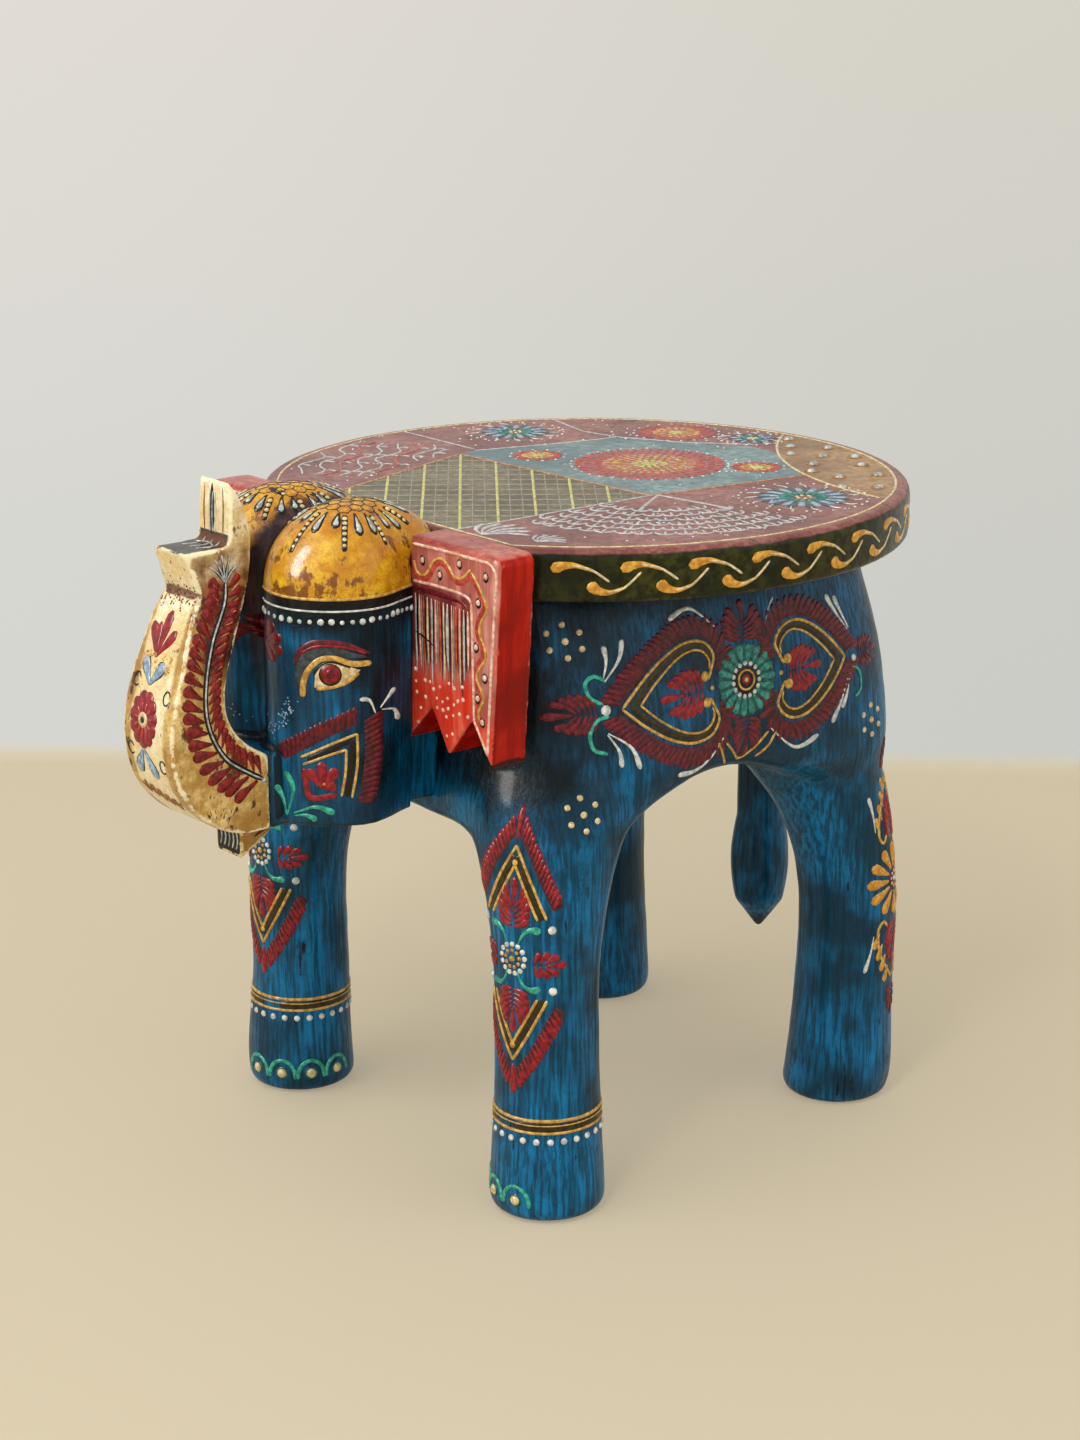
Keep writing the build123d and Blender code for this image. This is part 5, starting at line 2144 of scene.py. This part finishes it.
@dataclass
class Head:
    """The two-lobed head with its golden domes, eyes and cheeks."""

    place: Place
    lobe: Point = (23, -155)
    lobe_radius: float = 35
    brow: float = 284
    dome_radius: float = 34
    view: float = 49.3
    cell: float = 3.3

    def carve(self, shop: Workshop) -> Piece:
        """Carve the head; paint the lobes blue, the domes ochre, the valley plum and the sides by the ears in painted
        shade.

        Args:
            shop: The workshop.

        Returns:
            The head.
        """
        zones = (
            # Painted shade on the lobes' outer sides, beside the ears.
            (DEEP_BLUE, Between(Axis.X, 50, FAR, 4, 6, 55, folded=True)),
            (DEEP_BLUE, Between(Axis.Z, 268, self.brow, 5, 3)),
            (SOOT, Between(Axis.Z, 276, self.brow - 0.6, 1.2, 1.6)),
            (OCHRE, Between(Axis.Z, self.brow - 0.8, FAR, 0.5, 0.6)),
            (VALLEY, Between(Axis.X, -FAR, 7.5, 2.5, 4, 90, folded=True) & Between(Axis.Z, 250, FAR, 14, 4)),
        )
        paint = shop.paints.zoned("head_paintwork", HEAD_BLUE, *zones)
        return shop.carver.carve("head_carved", ("head",), 1.1, 0.35, "head_paint", paint)

    def eye(self, brush: Brush) -> None:
        """Paint one eye and brow.

        Args:
            brush: The face's brush.
        """
        shadow = ((-19.4, 244), (-18.8, 251.6), (-14, 258), (-5, 260.2), (3.4, 258.4), (9.6, 257.4))
        brush.stroke(Hue.SLATE, shadow, 7, 0.2, Touch.LEAF)
        brow = ((-21, 253.6), (-17.8, 260.2), (-11, 263.4), (1, 262.8), (11.6, 258.6))
        brush.stroke(Hue.OXBLOOD, brow, 4.4, 0.5, Touch.LEAF)
        brush.stroke(Hue.CRIMSON, ((-18, 259), (-11, 262.6), (1, 262), (9.6, 258.8)), 1.2, 0.7)
        white = (
            (-13, 244.2), (-9, 244), (-2.8, 245), (2.8, 247.6), (7.6, 251.8), (2.4, 254), (-4, 256.2), (-9.6, 254.8),
            (-12.4, 250),
        )
        brush.patch(Hue.CREAM, white, 0.35)
        lid = ((-17.8, 239.8), (-17.2, 246.4), (-14.6, 252.4), (-9.4, 256.9), (-3, 257.2), (3.4, 254.8), (11.4, 254.4))
        brush.stroke(Hue.GOLD, lid, 2.6, 0.7)
        brush.stroke(Hue.GOLD, ((-11.6, 243.8), (-6.6, 244.4), (0.8, 246.4), (6.4, 250.6)), 1.7, 0.6)
        brush.stroke(Hue.SOOT, ((-12.6, 250.6), (-8.6, 255), (-3.6, 255.6), (2.8, 253.2)), 1, 0.65)
        brush.disc(Hue.SOOT, (-5.6, 250.2), 5.2, 0.5, parts=18)
        brush.disc(Hue.CRIMSON, (-5.6, 250.4), 4.5, 0.62, parts=18)
        brush.disc(Hue.OXBLOOD, (-5.4, 250.6), 2.3, 0.75)
        # Two small painted highlights on the iris.
        brush.bead(Hue.ROSE, (-3.6, 252), 0.8)
        brush.bead(Hue.CREAM, (-7.6, 249), 0.5)

    def cheek(self, brush: Brush) -> None:
        """Paint one cheek's corner, commas and petals.

        Args:
            brush: The face's brush.
        """
        commas = (
            ((6.4, 238.6), (10.4, 237.8), (12.6, 231.6)),
            ((20.4, 240.4), (17.2, 236.6), (14.6, 233.6)),
            ((21.4, 225.4), (20, 230.8), (15.2, 232.6)),
        )
        brush.strokes(Hue.WHITE, commas, 2.2, 0.6, Touch.COMMA)
        for line, lean in (
            (((-27.6, 209.6), (-10, 220.6), (5.6, 227.8)), 0.5), (((8, 229.6), (7.4, 210), (4.2, 192)), -0.4),
        ):
            brush.stroke(Hue.WINE, beside(line, 3.4), 7.6, 0.14)
            brush.feathers(Hue.OXBLOOD, line, 7.6, 2.5, 2.6, lean, 0.5)
        corner = ((-16.6, 211.6), (-6, 216.6), (2.4, 219.8), (1.6, 207), (0, 195.4))
        brush.stroke(Hue.SOOT, corner, 2.8, 0.25, step=1)
        for line in (
            ((-19.6, 212.6), (-6, 219.2), (5, 223.4), (4.6, 209), (2, 194.6)),
            ((-18.6, 209.4), (-8.4, 213.8), (0.2, 216.6), (-0.4, 206), (-2.4, 195.4)),
        ):
            brush.strokes(Hue.GOLD, (line[:3], line[2:]), 1.2, 0.6)
        for tip in ((-17, 207.4), (-10.6, 211), (-4, 208.2), (-4.6, 200.4)):
            brush.petal(Hue.CRIMSON, (-10.4, 199), tip, 5, 0.55)
        brush.stroke(Hue.CRIMSON, ((-18.4, 207.6), (-17.4, 200), (-15.4, 194.4), (-4.4, 196.2)), 2.8, 0.4)
        brush.bead(Hue.GOLD, (-9.6, 201.2), 0.9)
        hooks = (
            ((-27, 204.6), (-23.6, 198), (-25, 190.6), (-26.8, 184.6)),
            ((-31.4, 197.4), (-28.2, 191), (-27, 184.6)),
            ((-5.6, 187.6), (-13.6, 190.4), (-23.6, 186.4)),
            ((-13.4, 184.4), (-18, 186.2), (-23.4, 185.2)),
        )
        brush.strokes(Hue.JADE, hooks, 3.2, 0.55, Touch.COMMA)
        for tip in ((-38.4, 267.4), (-31, 270.4), (-26.4, 265), (-26, 257.8), (-30.4, 252.6)):
            brush.petal(Hue.OXBLOOD, (-35.2, 260.2), tip, 5.4, 0.5)

    def dome(self, brush: Brush) -> None:
        """Paint one dome's honeycomb, petals and chains.

        Args:
            brush: A brush that wraps over the dome.
        """
        pole, comb_reach, spokes = (0, 0), self.cell * 4.4, 24
        for q in range(-3, 4):
            for r in range(-3, 4):
                centre = (self.cell * 1.5 * q, self.cell * math.sqrt(3) * (r + q / 2))
                if math.hypot(*centre) < comb_reach:
                    brush.circle(Hue.SOOT, centre, self.cell, 0.6, 0.25, parts=6, step=9)
                    if math.hypot(*centre) > 1:
                        brush.disc(Hue.AMBER, centre, self.cell * 0.5, 0.15, parts=6)
        for k in range(spokes):
            turn = math.radians(360 / spokes * k + 4 + 3 * math.sin(2.3 * k))
            if k % 3:
                reach = 25.6 + 2.4 * math.sin(1.7 * k)
                brush.petal(Hue.SOOT, polar(pole, turn, 14.6), polar(pole, turn, reach), 5, 0.3)
                brush.petal(Hue.SILVER, polar(pole, turn, 17), polar(pole, turn, reach - 1.4), 2.8, 0.65)
                continue
            count = 4 + (5 * k) % 4
            brush.stroke(Hue.SOOT, (polar(pole, turn, 16), polar(pole, turn, 18 + 2.8 * count)), 3.2, 0.25)
            for j in range(count):
                brush.bead(Hue.CREAM, polar(pole, turn, 18.2 + 2.8 * j), 1.25 - 0.06 * j)

    def brow_band(self, brush: Brush, rng: random.Random) -> None:
        """Paint the lines and pearls under one dome.

        Args:
            brush: A brush that goes round the lobe.
            rng: Where the chances come from.
        """
        degree = math.radians(self.lobe_radius)
        for k in range(25):
            spot = ((-72 + 7.2 * k) * degree, 273 + rng.uniform(-0.3, 0.3))
            brush.bead(Hue.WHITE, spot, 1.5 if k % 4 < 2 else 1.05)
        for level, width, hue in ((277.6, 0.9, Hue.WHITE), (282.8, 1.3, Hue.GOLD)):
            brush.stroke(hue, [((-74 + 6 * k) * degree, level) for k in range(31)], width, 0.5)

    def build(self, shop: Workshop) -> None:
        """Carve the head and lay all its ornament.

        Args:
            shop: The workshop.
        """
        work = Palette("head", "head_paint", self.carve(shop))
        rng, centre = random.Random(11), self.place.world(*self.lobe, 0)
        top = self.place.world(*self.lobe, self.brow)
        for mirrored in (False, True):
            front = Brush(work, FlatChart.toward(centre, self.view, 60, mirrored))
            self.eye(front)
            self.cheek(front)
            self.dome(Brush(work, DomeChart(top, self.dome_radius, self.view, mirrored=mirrored)))
            self.brow_band(Brush(work, RoundChart(centre, self.lobe_radius, self.view, 14, mirrored=mirrored)), rng)
            # Fine pale blue speckle on the face below the eye: speckled paint that is partly a painted sheen.
            for _ in range(60):
                along = rng.random()
                spot = (-34 + 12 * along + rng.uniform(-3, 3), 219 + 17 * along + rng.uniform(-3.5, 3.5))
                front.bead(Hue.SKY, spot, rng.uniform(0.3, 0.5))
        work.lay(shop)


@dataclass
class Trunk:
    """The raised trunk with its leaf spray, flowers and stepped tip, and the lip."""

    place: Place
    step: float = 303.5
    tip: float = 331
    flower_centre: Point = (-2.8, 231.5)
    vein: tuple[Point, ...] = (
        (-199.9, 201.3), (-207.2, 205.6), (-218.9, 214.6), (-226.2, 229.5), (-226.9, 246.3), (-221.8, 264.1),
        (-213.4, 279.9), (-211.6, 288.6),
    )

    def carve(self, shop: Workshop) -> tuple[Piece, Piece]:
        """Carve trunk and lip; paint them cream, tan at the sides (partly painted shade), slate at the tips.

        Args:
            shop: The workshop.

        Returns:
            The trunk and the lip.
        """
        sides = Between(Axis.X, 12.4, FAR, 1.4, 2.2, 90, folded=True)
        fore, nape = (self.place.seat_y + y for y in (-227, -199))
        spray = sides & Between(Axis.Y, fore, nape, 3.5, 4) & Between(Axis.Z, 250, 303, 7, 5)
        # The sides are tan: partly their own colour, partly painted shade.
        zones = [(TAN, sides), (LEAF_SHADE, spray)]
        for level, climb, wide in ((self.step, 4.5, 10.5), (self.tip, 0.8, 9)):
            flat = Between(Axis.Z, level - 1, level + climb, 0.3, 0.2)
            zones.append((SLATE, flat & Between(Axis.X, -FAR, wide, 0.8, 1.4, 140, folded=True)))
        paint = shop.paints.zoned("trunk_paintwork", CREAM, *zones)
        trunk = shop.carver.carve("trunk_carved", ("trunk",), 1, 0.35, "trunk_paint", paint)
        mouth = Between(Axis.X, -FAR, 8.4, 0.4, 0.4, folded=True)
        paint = shop.paints.zoned("lip_paintwork", TAN, (SOOT, mouth))
        return trunk, shop.carver.carve("lip_carved", ("lower_lip",), 0.7, 0.15, "trunk_paint", paint)

    def side(self, brush: Brush) -> None:
        """Paint the leaf spray on one side.

        Args:
            brush: The side's brush.
        """
        spine, upper, root = smooth_path(self.vein, 2), smooth_path(self.vein[4:], 3), self.vein[-1]
        brush.feathers(Hue.BRICK, beside(spine, 1.6), 12, 5.2, 5.6, 0.6, 0.5, taper=0.45)
        brush.feathers(Hue.BRICK, beside(spine, -1.6), 6.8, 4.2, 3.8, 0.95, 0.45, side=-1, taper=0.2)
        brush.feathers(Hue.GOLD, beside(upper, -3), 3.6, 5, 0.6, 0.9, 0.5, side=-1)
        brush.feathers(Hue.GOLD, beside(upper, 3), 4.2, 5, 0.6, 0.7, 0.5)
        brush.stroke(Hue.SOOT, self.vein, 2.9, 0.35)
        brush.stroke(Hue.SILVER, self.vein, 0.9, 0.75)
        for tip in ((-218.6, 296.4), (-215.8, 299), (-212.2, 300.4), (-208, 299.8), (-204.4, 295.6)):
            path = (root, ((tip[0] + root[0]) / 2, (tip[1] + root[1]) / 2 + 1), tip)
            brush.stroke(Hue.SOOT, path, 1.8, 0.25, Touch.LEAF)
            brush.stroke(Hue.SILVER, path, 0.8, 0.5)
        rng = random.Random(9)
        for _ in range(16):
            u, v = -222 + rng.uniform(-6, 6), 189.6 + rng.uniform(-2.4, 2.4)
            rise = rng.uniform(1.2, 2.6)
            path = ((u, v), (u + rng.uniform(-1.4, 1.4), v + rise))
            brush.stroke(Hue.WINE, path, rng.uniform(0.4, 0.8), 0.2, Touch.LEAF)
        brush.bead(Hue.SILVER, (-199.4, 200.6), 1.2)

    def front(self, brush: Brush, rng: random.Random) -> None:
        """Paint the flowers on the front face.

        Args:
            brush: The front's brush.
            rng: Where the chances come from.
        """
        for tip, width in (((0.2, 277), 4.8), ((-10.6, 271), 4.6), ((7.4, 269.6), 3.8), ((-5.6, 271.6), 3)):
            brush.petal(Hue.CRIMSON, (-3.4, 257.6), tip, width * 1.3, 0.45)
        for root, tip in (
            ((-3.2, 246.2), (-10.6, 256.6)), ((-3.2, 246.2), (4.4, 255.8)), ((-3.4, 218.6), (-9.6, 207.6)),
            ((-2.6, 218.6), (4.6, 206.6)),
        ):
            brush.petal(Hue.SOOT, root, tip, 7.4, 0.2)
            brush.petal(Hue.SKY, root, tip, 5.8, 0.45)
        middle, turns = self.flower_centre, [math.radians(360 / 11 * k + 8) for k in range(11)]
        brush.wheel(Hue.CRIMSON, middle, turns, (2, 2.4), (10.2, 12.4), 6.6, 0.45)
        brush.wheel(Hue.ROSE, middle, turns, (2.6, 2.8), (6.6, 7.6), 1.4, 0.62)
        brush.disc(Hue.CREAM, middle, 3.6, 0.55)
        brush.disc(Hue.SOOT, middle, 1.6, 0.7)
        brush.ring(Hue.WHITE, middle, 2.7, 7, 0.55)
        for centre in ((-12.4, 247), (11.6, 243.2), (-12.8, 217.4), (10.8, 213.4)):
            brush.stroke(Hue.SOOT, arc(centre, 2.2, 20, 320, 10, 1.3), 0.8, 0.35)
        for _ in range(34):
            spot = (rng.uniform(-8.5, 9), 250 + rng.uniform(2, 9.5))
            brush.bead(Hue.GOLD, spot, rng.uniform(0.5, 0.85))
        for _ in range(70):
            u = rng.uniform(-12, 12)
            brush.bead(Hue.OXBLOOD, (u, 283.4 + rng.gauss(0, 3) + 0.1 * u), rng.uniform(0.3, 0.6))
        for k in range(5):
            root = (-9.5 + 4.6 * k, 196.5 - 1.2 * k)
            for lean in (-3, 0, 3):
                brush.petal(Hue.OCHRE, root, (root[0] + lean, root[1] + 6.4 - abs(lean) * 0.5), 1.7, 0.35)

    def tips(self, above: Brush, ahead: Brush) -> None:
        """Draw silver strokes on the flat tips and the rear prong's front.

        Args:
            above: A brush that works from above.
            ahead: A brush that works from the front.
        """
        for u in (-5, 0.5, 5.5):
            above.stroke(Hue.SILVER, ((u - 1, -219.5), (u + 0.6, -214), (u - 0.6, -208)), 0.8, 0.25)
        above.stroke(Hue.SILVER, ((-7.6, -212), (-2, -209.6), (4.6, -211.4), (7.2, -215.6)), 0.9, 0.25)
        ahead.stroke(Hue.SOOT, ((-1.2, 307), (-1.6, 317), (-1, 328.4)), 5, 0.15, Touch.LEAF)
        for u in (-2.4, -0.6, 1.4):
            ahead.stroke(Hue.SILVER, ((u, 307.5), (u - 0.5, 316), (u, 325)), 0.7, 0.35)
        for side in (1, -1):
            path = ((side * 6.6, 307), (side * 7.2, 317), (side * 6.4, 328))
            ahead.stroke(Hue.OCHRE, path, 1.4, 0.2, Touch.LEAF)

    def build(self, shop: Workshop) -> None:
        """Carve the trunk and its lip and lay all their ornament.

        Args:
            shop: The workshop.
        """
        trunk, lip = self.carve(shop)
        work, below = Palette("trunk", "trunk_paint", trunk), Palette("lip", "trunk_paint", lip)
        centre = self.place.world(0, 0, 0)
        sides = [FlatChart.toward(centre, 90, 120, mirrored) for mirrored in (False, True)]
        ahead = FlatChart.toward(centre, 0, 300)
        for chart in sides:
            self.side(Brush(work, chart))
        self.front(Brush(work, ahead), random.Random(5))
        self.tips(Brush(work, FlatChart.above(self.place, 380)), Brush(work, ahead))
        work.lay(shop)
        teeth = [((u, 175), (u + 0.8, 171), (u - 0.4, 167)) for u in (-6, -3, 0, 3, 6)]
        Brush(below, ahead).strokes(Hue.SILVER, teeth, 0.9, 0.3)
        for chart in sides:
            path = ((-199, 172.4), (-194, 174.6), (-190.4, 175.4))
            Brush(below, chart).stroke(Hue.OXBLOOD, path, 1.8, 0.3, Touch.LEAF)
        below.lay(shop)


@dataclass
class Ears:
    """The two board ears with their framed fronts."""

    place: Place
    front: float = -139
    nodes: tuple[str, ...] = ("ear_left", "ear_right")
    comb: tuple[Hue, ...] = (
        Hue.MIST, Hue.SOOT, Hue.BLUSH, Hue.TAUPE, Hue.ROSE, Hue.SOOT, Hue.CREAM, Hue.OXBLOOD,
    )

    def carve(self, shop: Workshop) -> list[Piece]:
        """Carve both boards red with rose fronts.

        Args:
            shop: The workshop.

        Returns:
            The boards.
        """
        face = Between(Axis.Y, -FAR, self.front + self.place.seat_y + 1.5, 0.3, 0.4)
        outer = Between(Axis.X, 87.5, FAR, 1, 1, folded=True)
        inner = Between(Axis.X, 40, 87.6, 0.4, 0.4, folded=True)
        zones = (
            (EAR_SCARLET, face),
            (EAR_ROSE, face & Between(Axis.Z, 246, FAR, 5, 6)),
            (EAR_ROSE, face & outer & Between(Axis.Z, 232, FAR, 7, 5)),
            (EAR_COMB, face & Between(Axis.Z, 252, 284.4, 2.6, 4) & inner),
            (EAR_DUSTY, Between(Axis.Z, 302.8, FAR, 0.5, 0.6)),
        )
        paint = shop.paints.zoned("ear_paintwork", EAR_RED, *zones)
        return [shop.carver.carve(f"{node}_carved", (node,), 1.1, 0.3, "ear_paint", paint) for node in self.nodes]

    def frame_lines(self, brush: Brush) -> None:
        """Paint one ear's frame, its waves and its pearls.

        Args:
            brush: The ear's brush.
        """
        frame = (
            ((48.2, 300.8), (70, 301.3), (92, 301.4), (99.6, 301.2), (103, 299), (104.2, 295), (102.4, 278)),
            ((102.4, 278), (100.5, 257), (99, 239), (97.6, 224), (97, 217.4)),
            ((97, 217.4), (93.2, 223.8), (88.8, 230.9)),
            ((48.2, 284.6), (66, 285.2), (84, 284.4), (87.8, 281.6)),
            ((87.8, 281.6), (88.2, 262), (88.8, 230.9)),
        )
        brush.strokes(Hue.BLUSH, frame, 1.4, 0.5)
        for wave in (
            (
                (49, 293.5), (50.4, 289.6), (53.8, 287.9), (58.2, 289.9), (62.7, 295.6), (67.9, 297.6), (72.9, 295.3),
                (77.1, 291.4), (82.1, 292), (87.6, 296.4),
            ),
            (
                (88.7, 295), (92.3, 291.1), (96.5, 285.6), (97.9, 280.9), (93.9, 275), (93, 269.9), (95.6, 265.8),
                (96.8, 260.2), (92.2, 253.9), (91, 249.6), (93.8, 245.7), (95.1, 241.8), (91.9, 235.5), (92.4, 231.4),
            ),
        ):
            brush.stroke(Hue.ROSE, beside(smooth_path(wave, 2), -1.7), 3.2, 0.15)
            brush.stroke(Hue.GOLD, wave, 1.3, 0.6)
        for u, v in (
            (54.9, 294.6), (80.2, 297.4), (66.8, 290.4), (97.6, 295), (92.4, 283), (90.6, 263.5), (96.2, 251.2),
            (91.4, 241.3), (94.2, 231.4),
        ):
            brush.disc(Hue.SOOT, (u, v), 1.9, 0.25, 1.3)
            brush.bead(Hue.BLUSH, (u, v + 0.2), 1.45)

    def field(self, brush: Brush, rng: random.Random) -> None:
        """Paint the comb of bars inside one ear's frame and the dots below it.

        Args:
            brush: The ear's brush.
            rng: Where the chances come from.
        """
        brush.stroke(Hue.OXBLOOD, ((48.6, 281.6), (66, 282), (80, 281.2), (85.4, 279)), 3.4, 0.2, Touch.LEAF)
        for k in range(27):
            u, low = 49.4 + k * 1.38, 246 + 5 * math.sin(k * 1.3) + rng.uniform(-3, 3)
            path = ((u, 279.4 - 0.05 * k), (u + rng.uniform(-0.4, 0.4), 264), (u + rng.uniform(-0.4, 0.4), low))
            brush.stroke(self.comb[k % len(self.comb)], path, rng.uniform(0.9, 2.2), 0.25, Touch.LEAF)
        brush.stroke(Hue.SOOT, ((48.4, 262.6), (55, 261), (64, 257.4)), 1.1, 0.4, Touch.LEAF)
        placed: list[Point] = []
        while len(placed) < 34:
            spot = (rng.uniform(48, 85), rng.uniform(220, 247))
            if all(math.dist(spot, other) > 3.4 for other in placed):
                placed.append(spot)
                brush.bead(Hue.BLUSH, spot, rng.uniform(0.75, 1.1))

    def build(self, shop: Workshop) -> None:
        """Carve the ears and lay all their ornament.

        Args:
            shop: The workshop.
        """
        surface = merged_surface("ear_surface", [board.data for board in self.carve(shop)])
        work = Palette("ears", "ear_paint", surface)
        for mirrored in (False, True):
            brush = Brush(work, FlatChart.toward(self.place.world(0, 0, 0), 0, 200, mirrored))
            self.frame_lines(brush)
            self.field(brush, random.Random(3))
        work.lay(shop)
        bpy.data.objects.remove(surface)


# -------------------------------------------------------------------- the studio
@dataclass(frozen=True)
class Lamp:
    """A soft square lamp; angles in degrees, lengths in mm, power in watts."""

    name: str
    turn: float
    elevation: float
    distance: float
    size: float
    power: float
    colour: Colour = tint(255, 250, 240)
    on_surfaces: bool = True
    in_reflections: bool = True
    height: float = 0

    def hang(self, place: Place, azimuth: float) -> None:
        """Hang the lamp.

        Args:
            place: Where the stool stands.
            azimuth: Side the camera sees the stool from, degrees.
        """
        out = outward(math.radians(azimuth + self.turn), math.radians(self.elevation))
        data = bpy.data.lights.new(self.name, "AREA")
        data.size, data.energy, data.color = self.size * MM, self.power, self.colour[:3]
        if self.height:
            data.shape, data.size_y = "RECTANGLE", self.height * MM
        lamp = linked(self.name, data)
        lamp.location = place.world(0, 0, 150) + out * self.distance * MM
        lamp.rotation_euler = (-out).to_track_quat("-Z", "Y").to_euler()
        lamp.visible_diffuse, lamp.visible_glossy = self.on_surfaces, self.in_reflections


@dataclass
class Studio:
    """Floor, wall, lamps and camera."""

    azimuth: float = 49.311
    elevation: float = 17.835
    distance: float = 1420.127
    target_height: float = 151.36
    lens: float = 73.68
    shift: Point = (-0.03235, 0.0460)
    wall_distance: float = 517
    wall_azimuth: float = 46.83
    reach: float = 4000
    cove: float = 14
    floor_colour: Colour = tint(210, 198, 175)
    floor_tone: Colour = tint(214, 201, 173)
    floor_glow: float = 0.45
    wall_colour: Colour = tint(222, 219, 210)
    lamps: tuple[Lamp, ...] = (
        Lamp("key", -56, 48, 1700, 1500, 9),
        Lamp("sun", -20, 50, 1500, 190, 4.2, in_reflections=False),
        Lamp("window", -60, 33, 1500, 420, 26, on_surfaces=False, height=900),
        Lamp("fill", 64, 28, 1900, 1200, 2, tint(244, 248, 255)),
        Lamp("back", 215, 50, 1500, 1000, 3),
    )

    def camera(self, place: Place) -> None:
        """Set the camera.

        Args:
            place: Where the stool stands.
        """
        back = outward(math.radians(self.azimuth), math.radians(self.elevation))
        data = bpy.data.cameras.new("camera")
        data.lens, data.clip_end = self.lens, 50
        data.shift_x, data.shift_y = self.shift
        camera = linked("camera", data)
        camera.location = place.world(0, 0, self.target_height) + back * self.distance * MM
        camera.rotation_euler = (-back).to_track_quat("-Z", "Y").to_euler()
        bpy.context.scene.camera = camera

    def backdrop(self, place: Place) -> None:
        """Build the floor that curves up into the wall.

        Args:
            place: Where the stool stands.
        """
        out = outward(math.radians(self.wall_azimuth))
        side, centre, wall = Vector((-out.y, out.x, 0)), place.world(0, 0, 0), -self.wall_distance
        bends = ((math.sin(t), math.cos(t)) for t in (math.radians(9 * k) for k in range(11)))
        curve = [(wall + self.cove - self.cove * sine, self.cove - self.cove * cosine) for sine, cosine in bends]
        profile = [(self.reach, 0), *curve, (wall, self.reach)]
        verts = [
            tuple(centre + (out * along + side * across) * MM + Vector((0, 0, height * MM)))
            for along, height in profile
            for across in (-self.reach, self.reach)
        ]
        faces = [(2 * k, 2 * k + 1, 2 * k + 3, 2 * k + 2) for k in range(len(profile) - 1)]
        mesh = bpy.data.meshes.new("backdrop")
        mesh.from_pydata(verts, [], faces)
        shell = bmesh.new()
        shell.from_mesh(mesh)
        for face in shell.faces:
            face.smooth = True
            if face.normal.z < -0.01 or (abs(face.normal.z) <= 0.01 and face.normal.dot(out) < 0):
                face.normal_flip()
        shell.to_mesh(mesh)
        shell.free()
        mesh.materials.append(self._backdrop_paint())
        linked("backdrop", mesh)

    def _backdrop_paint(self) -> Material:
        """Mix a beige floor that turns grey-cream up the wall and is open from behind.

        Returns:
            The material.
        """
        wires = Surface("backdrop")
        x, y, z = wires.split(wires.spot)
        upright = wires.ramp(z, 0.001, 0.012)
        colour = wires.mix(upright, self.floor_colour, self.wall_colour)
        sources = {"Base Color": colour, "Roughness": 0.75, "Specular IOR Level": 0.2}
        diffuse = wires.add("ShaderNodeBsdfPrincipled", sources).outputs[0]
        # The wall as seen carries painted light: lighter higher up and darker towards positive x plus y.
        across = wires.ramp(wires.plus(x, y), -0.6, 0.45)
        low = wires.mix(across, tint(213, 214, 208), tint(203, 204, 198))
        high = wires.mix(across, tint(226, 221, 214), tint(214, 210, 200))
        wall = wires.mix(wires.ramp(z, 0, 0.6), low, high)
        glow = wires.add("ShaderNodeEmission", {"Color": wires.mix(upright, self.floor_tone, wall)}).outputs[0]
        path = wires.add("ShaderNodeLightPath").outputs
        seen = wires.math("MAXIMUM", path["Is Camera Ray"], path["Is Transmission Ray"])
        seen = wires.math("MAXIMUM", seen, path["Is Glossy Ray"])
        share = wires.times(seen, wires.math("MAXIMUM", self.floor_glow, wires.ramp(z, 0.0005, 0.014)))
        lit = wires.add("ShaderNodeMixShader", {0: share, 1: diffuse, 2: glow}).outputs[0]
        clear = wires.add("ShaderNodeBsdfTransparent").outputs[0]
        behind = wires.add("ShaderNodeNewGeometry").outputs["Backfacing"]
        shown = wires.add("ShaderNodeMixShader", {0: behind, 1: lit, 2: clear}).outputs[0]
        wires.add("ShaderNodeOutputMaterial", {0: shown})
        return wires.material

    def build(self, place: Place) -> None:
        """Set up the whole studio.

        Args:
            place: Where the stool stands.
        """
        bpy.context.scene.view_settings.view_transform = "Standard"
        self.camera(place)
        self.backdrop(place)
        for lamp in self.lamps:
            lamp.hang(place, self.azimuth)
        world = bpy.data.worlds.new("room")
        bpy.context.scene.world = world
        world.use_nodes = True
        wires = Wiring(world.node_tree)
        glow = wires.add("ShaderNodeBackground", {"Color": tint(246, 244, 238), "Strength": 0.9})
        wires.add("ShaderNodeOutputWorld", {0: glow.outputs[0]})
        LOG.info("studio ready")


def main() -> None:
    """Load the frame, dress every piece, lay the ornament and set the studio."""
    logging.basicConfig(level=logging.INFO, format="%(message)s")
    for item in list(bpy.data.objects):
        bpy.data.objects.remove(item)
    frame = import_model()
    place = Place.read()
    Studio().build(place)
    shop = Workshop(Carver(frame), PaintShop(), Trees())
    for part in (Body(place), SeatBoard(place), Head(place), Trunk(place), Ears(place)):
        part.build(shop)


if __name__ == "__main__":
    main()
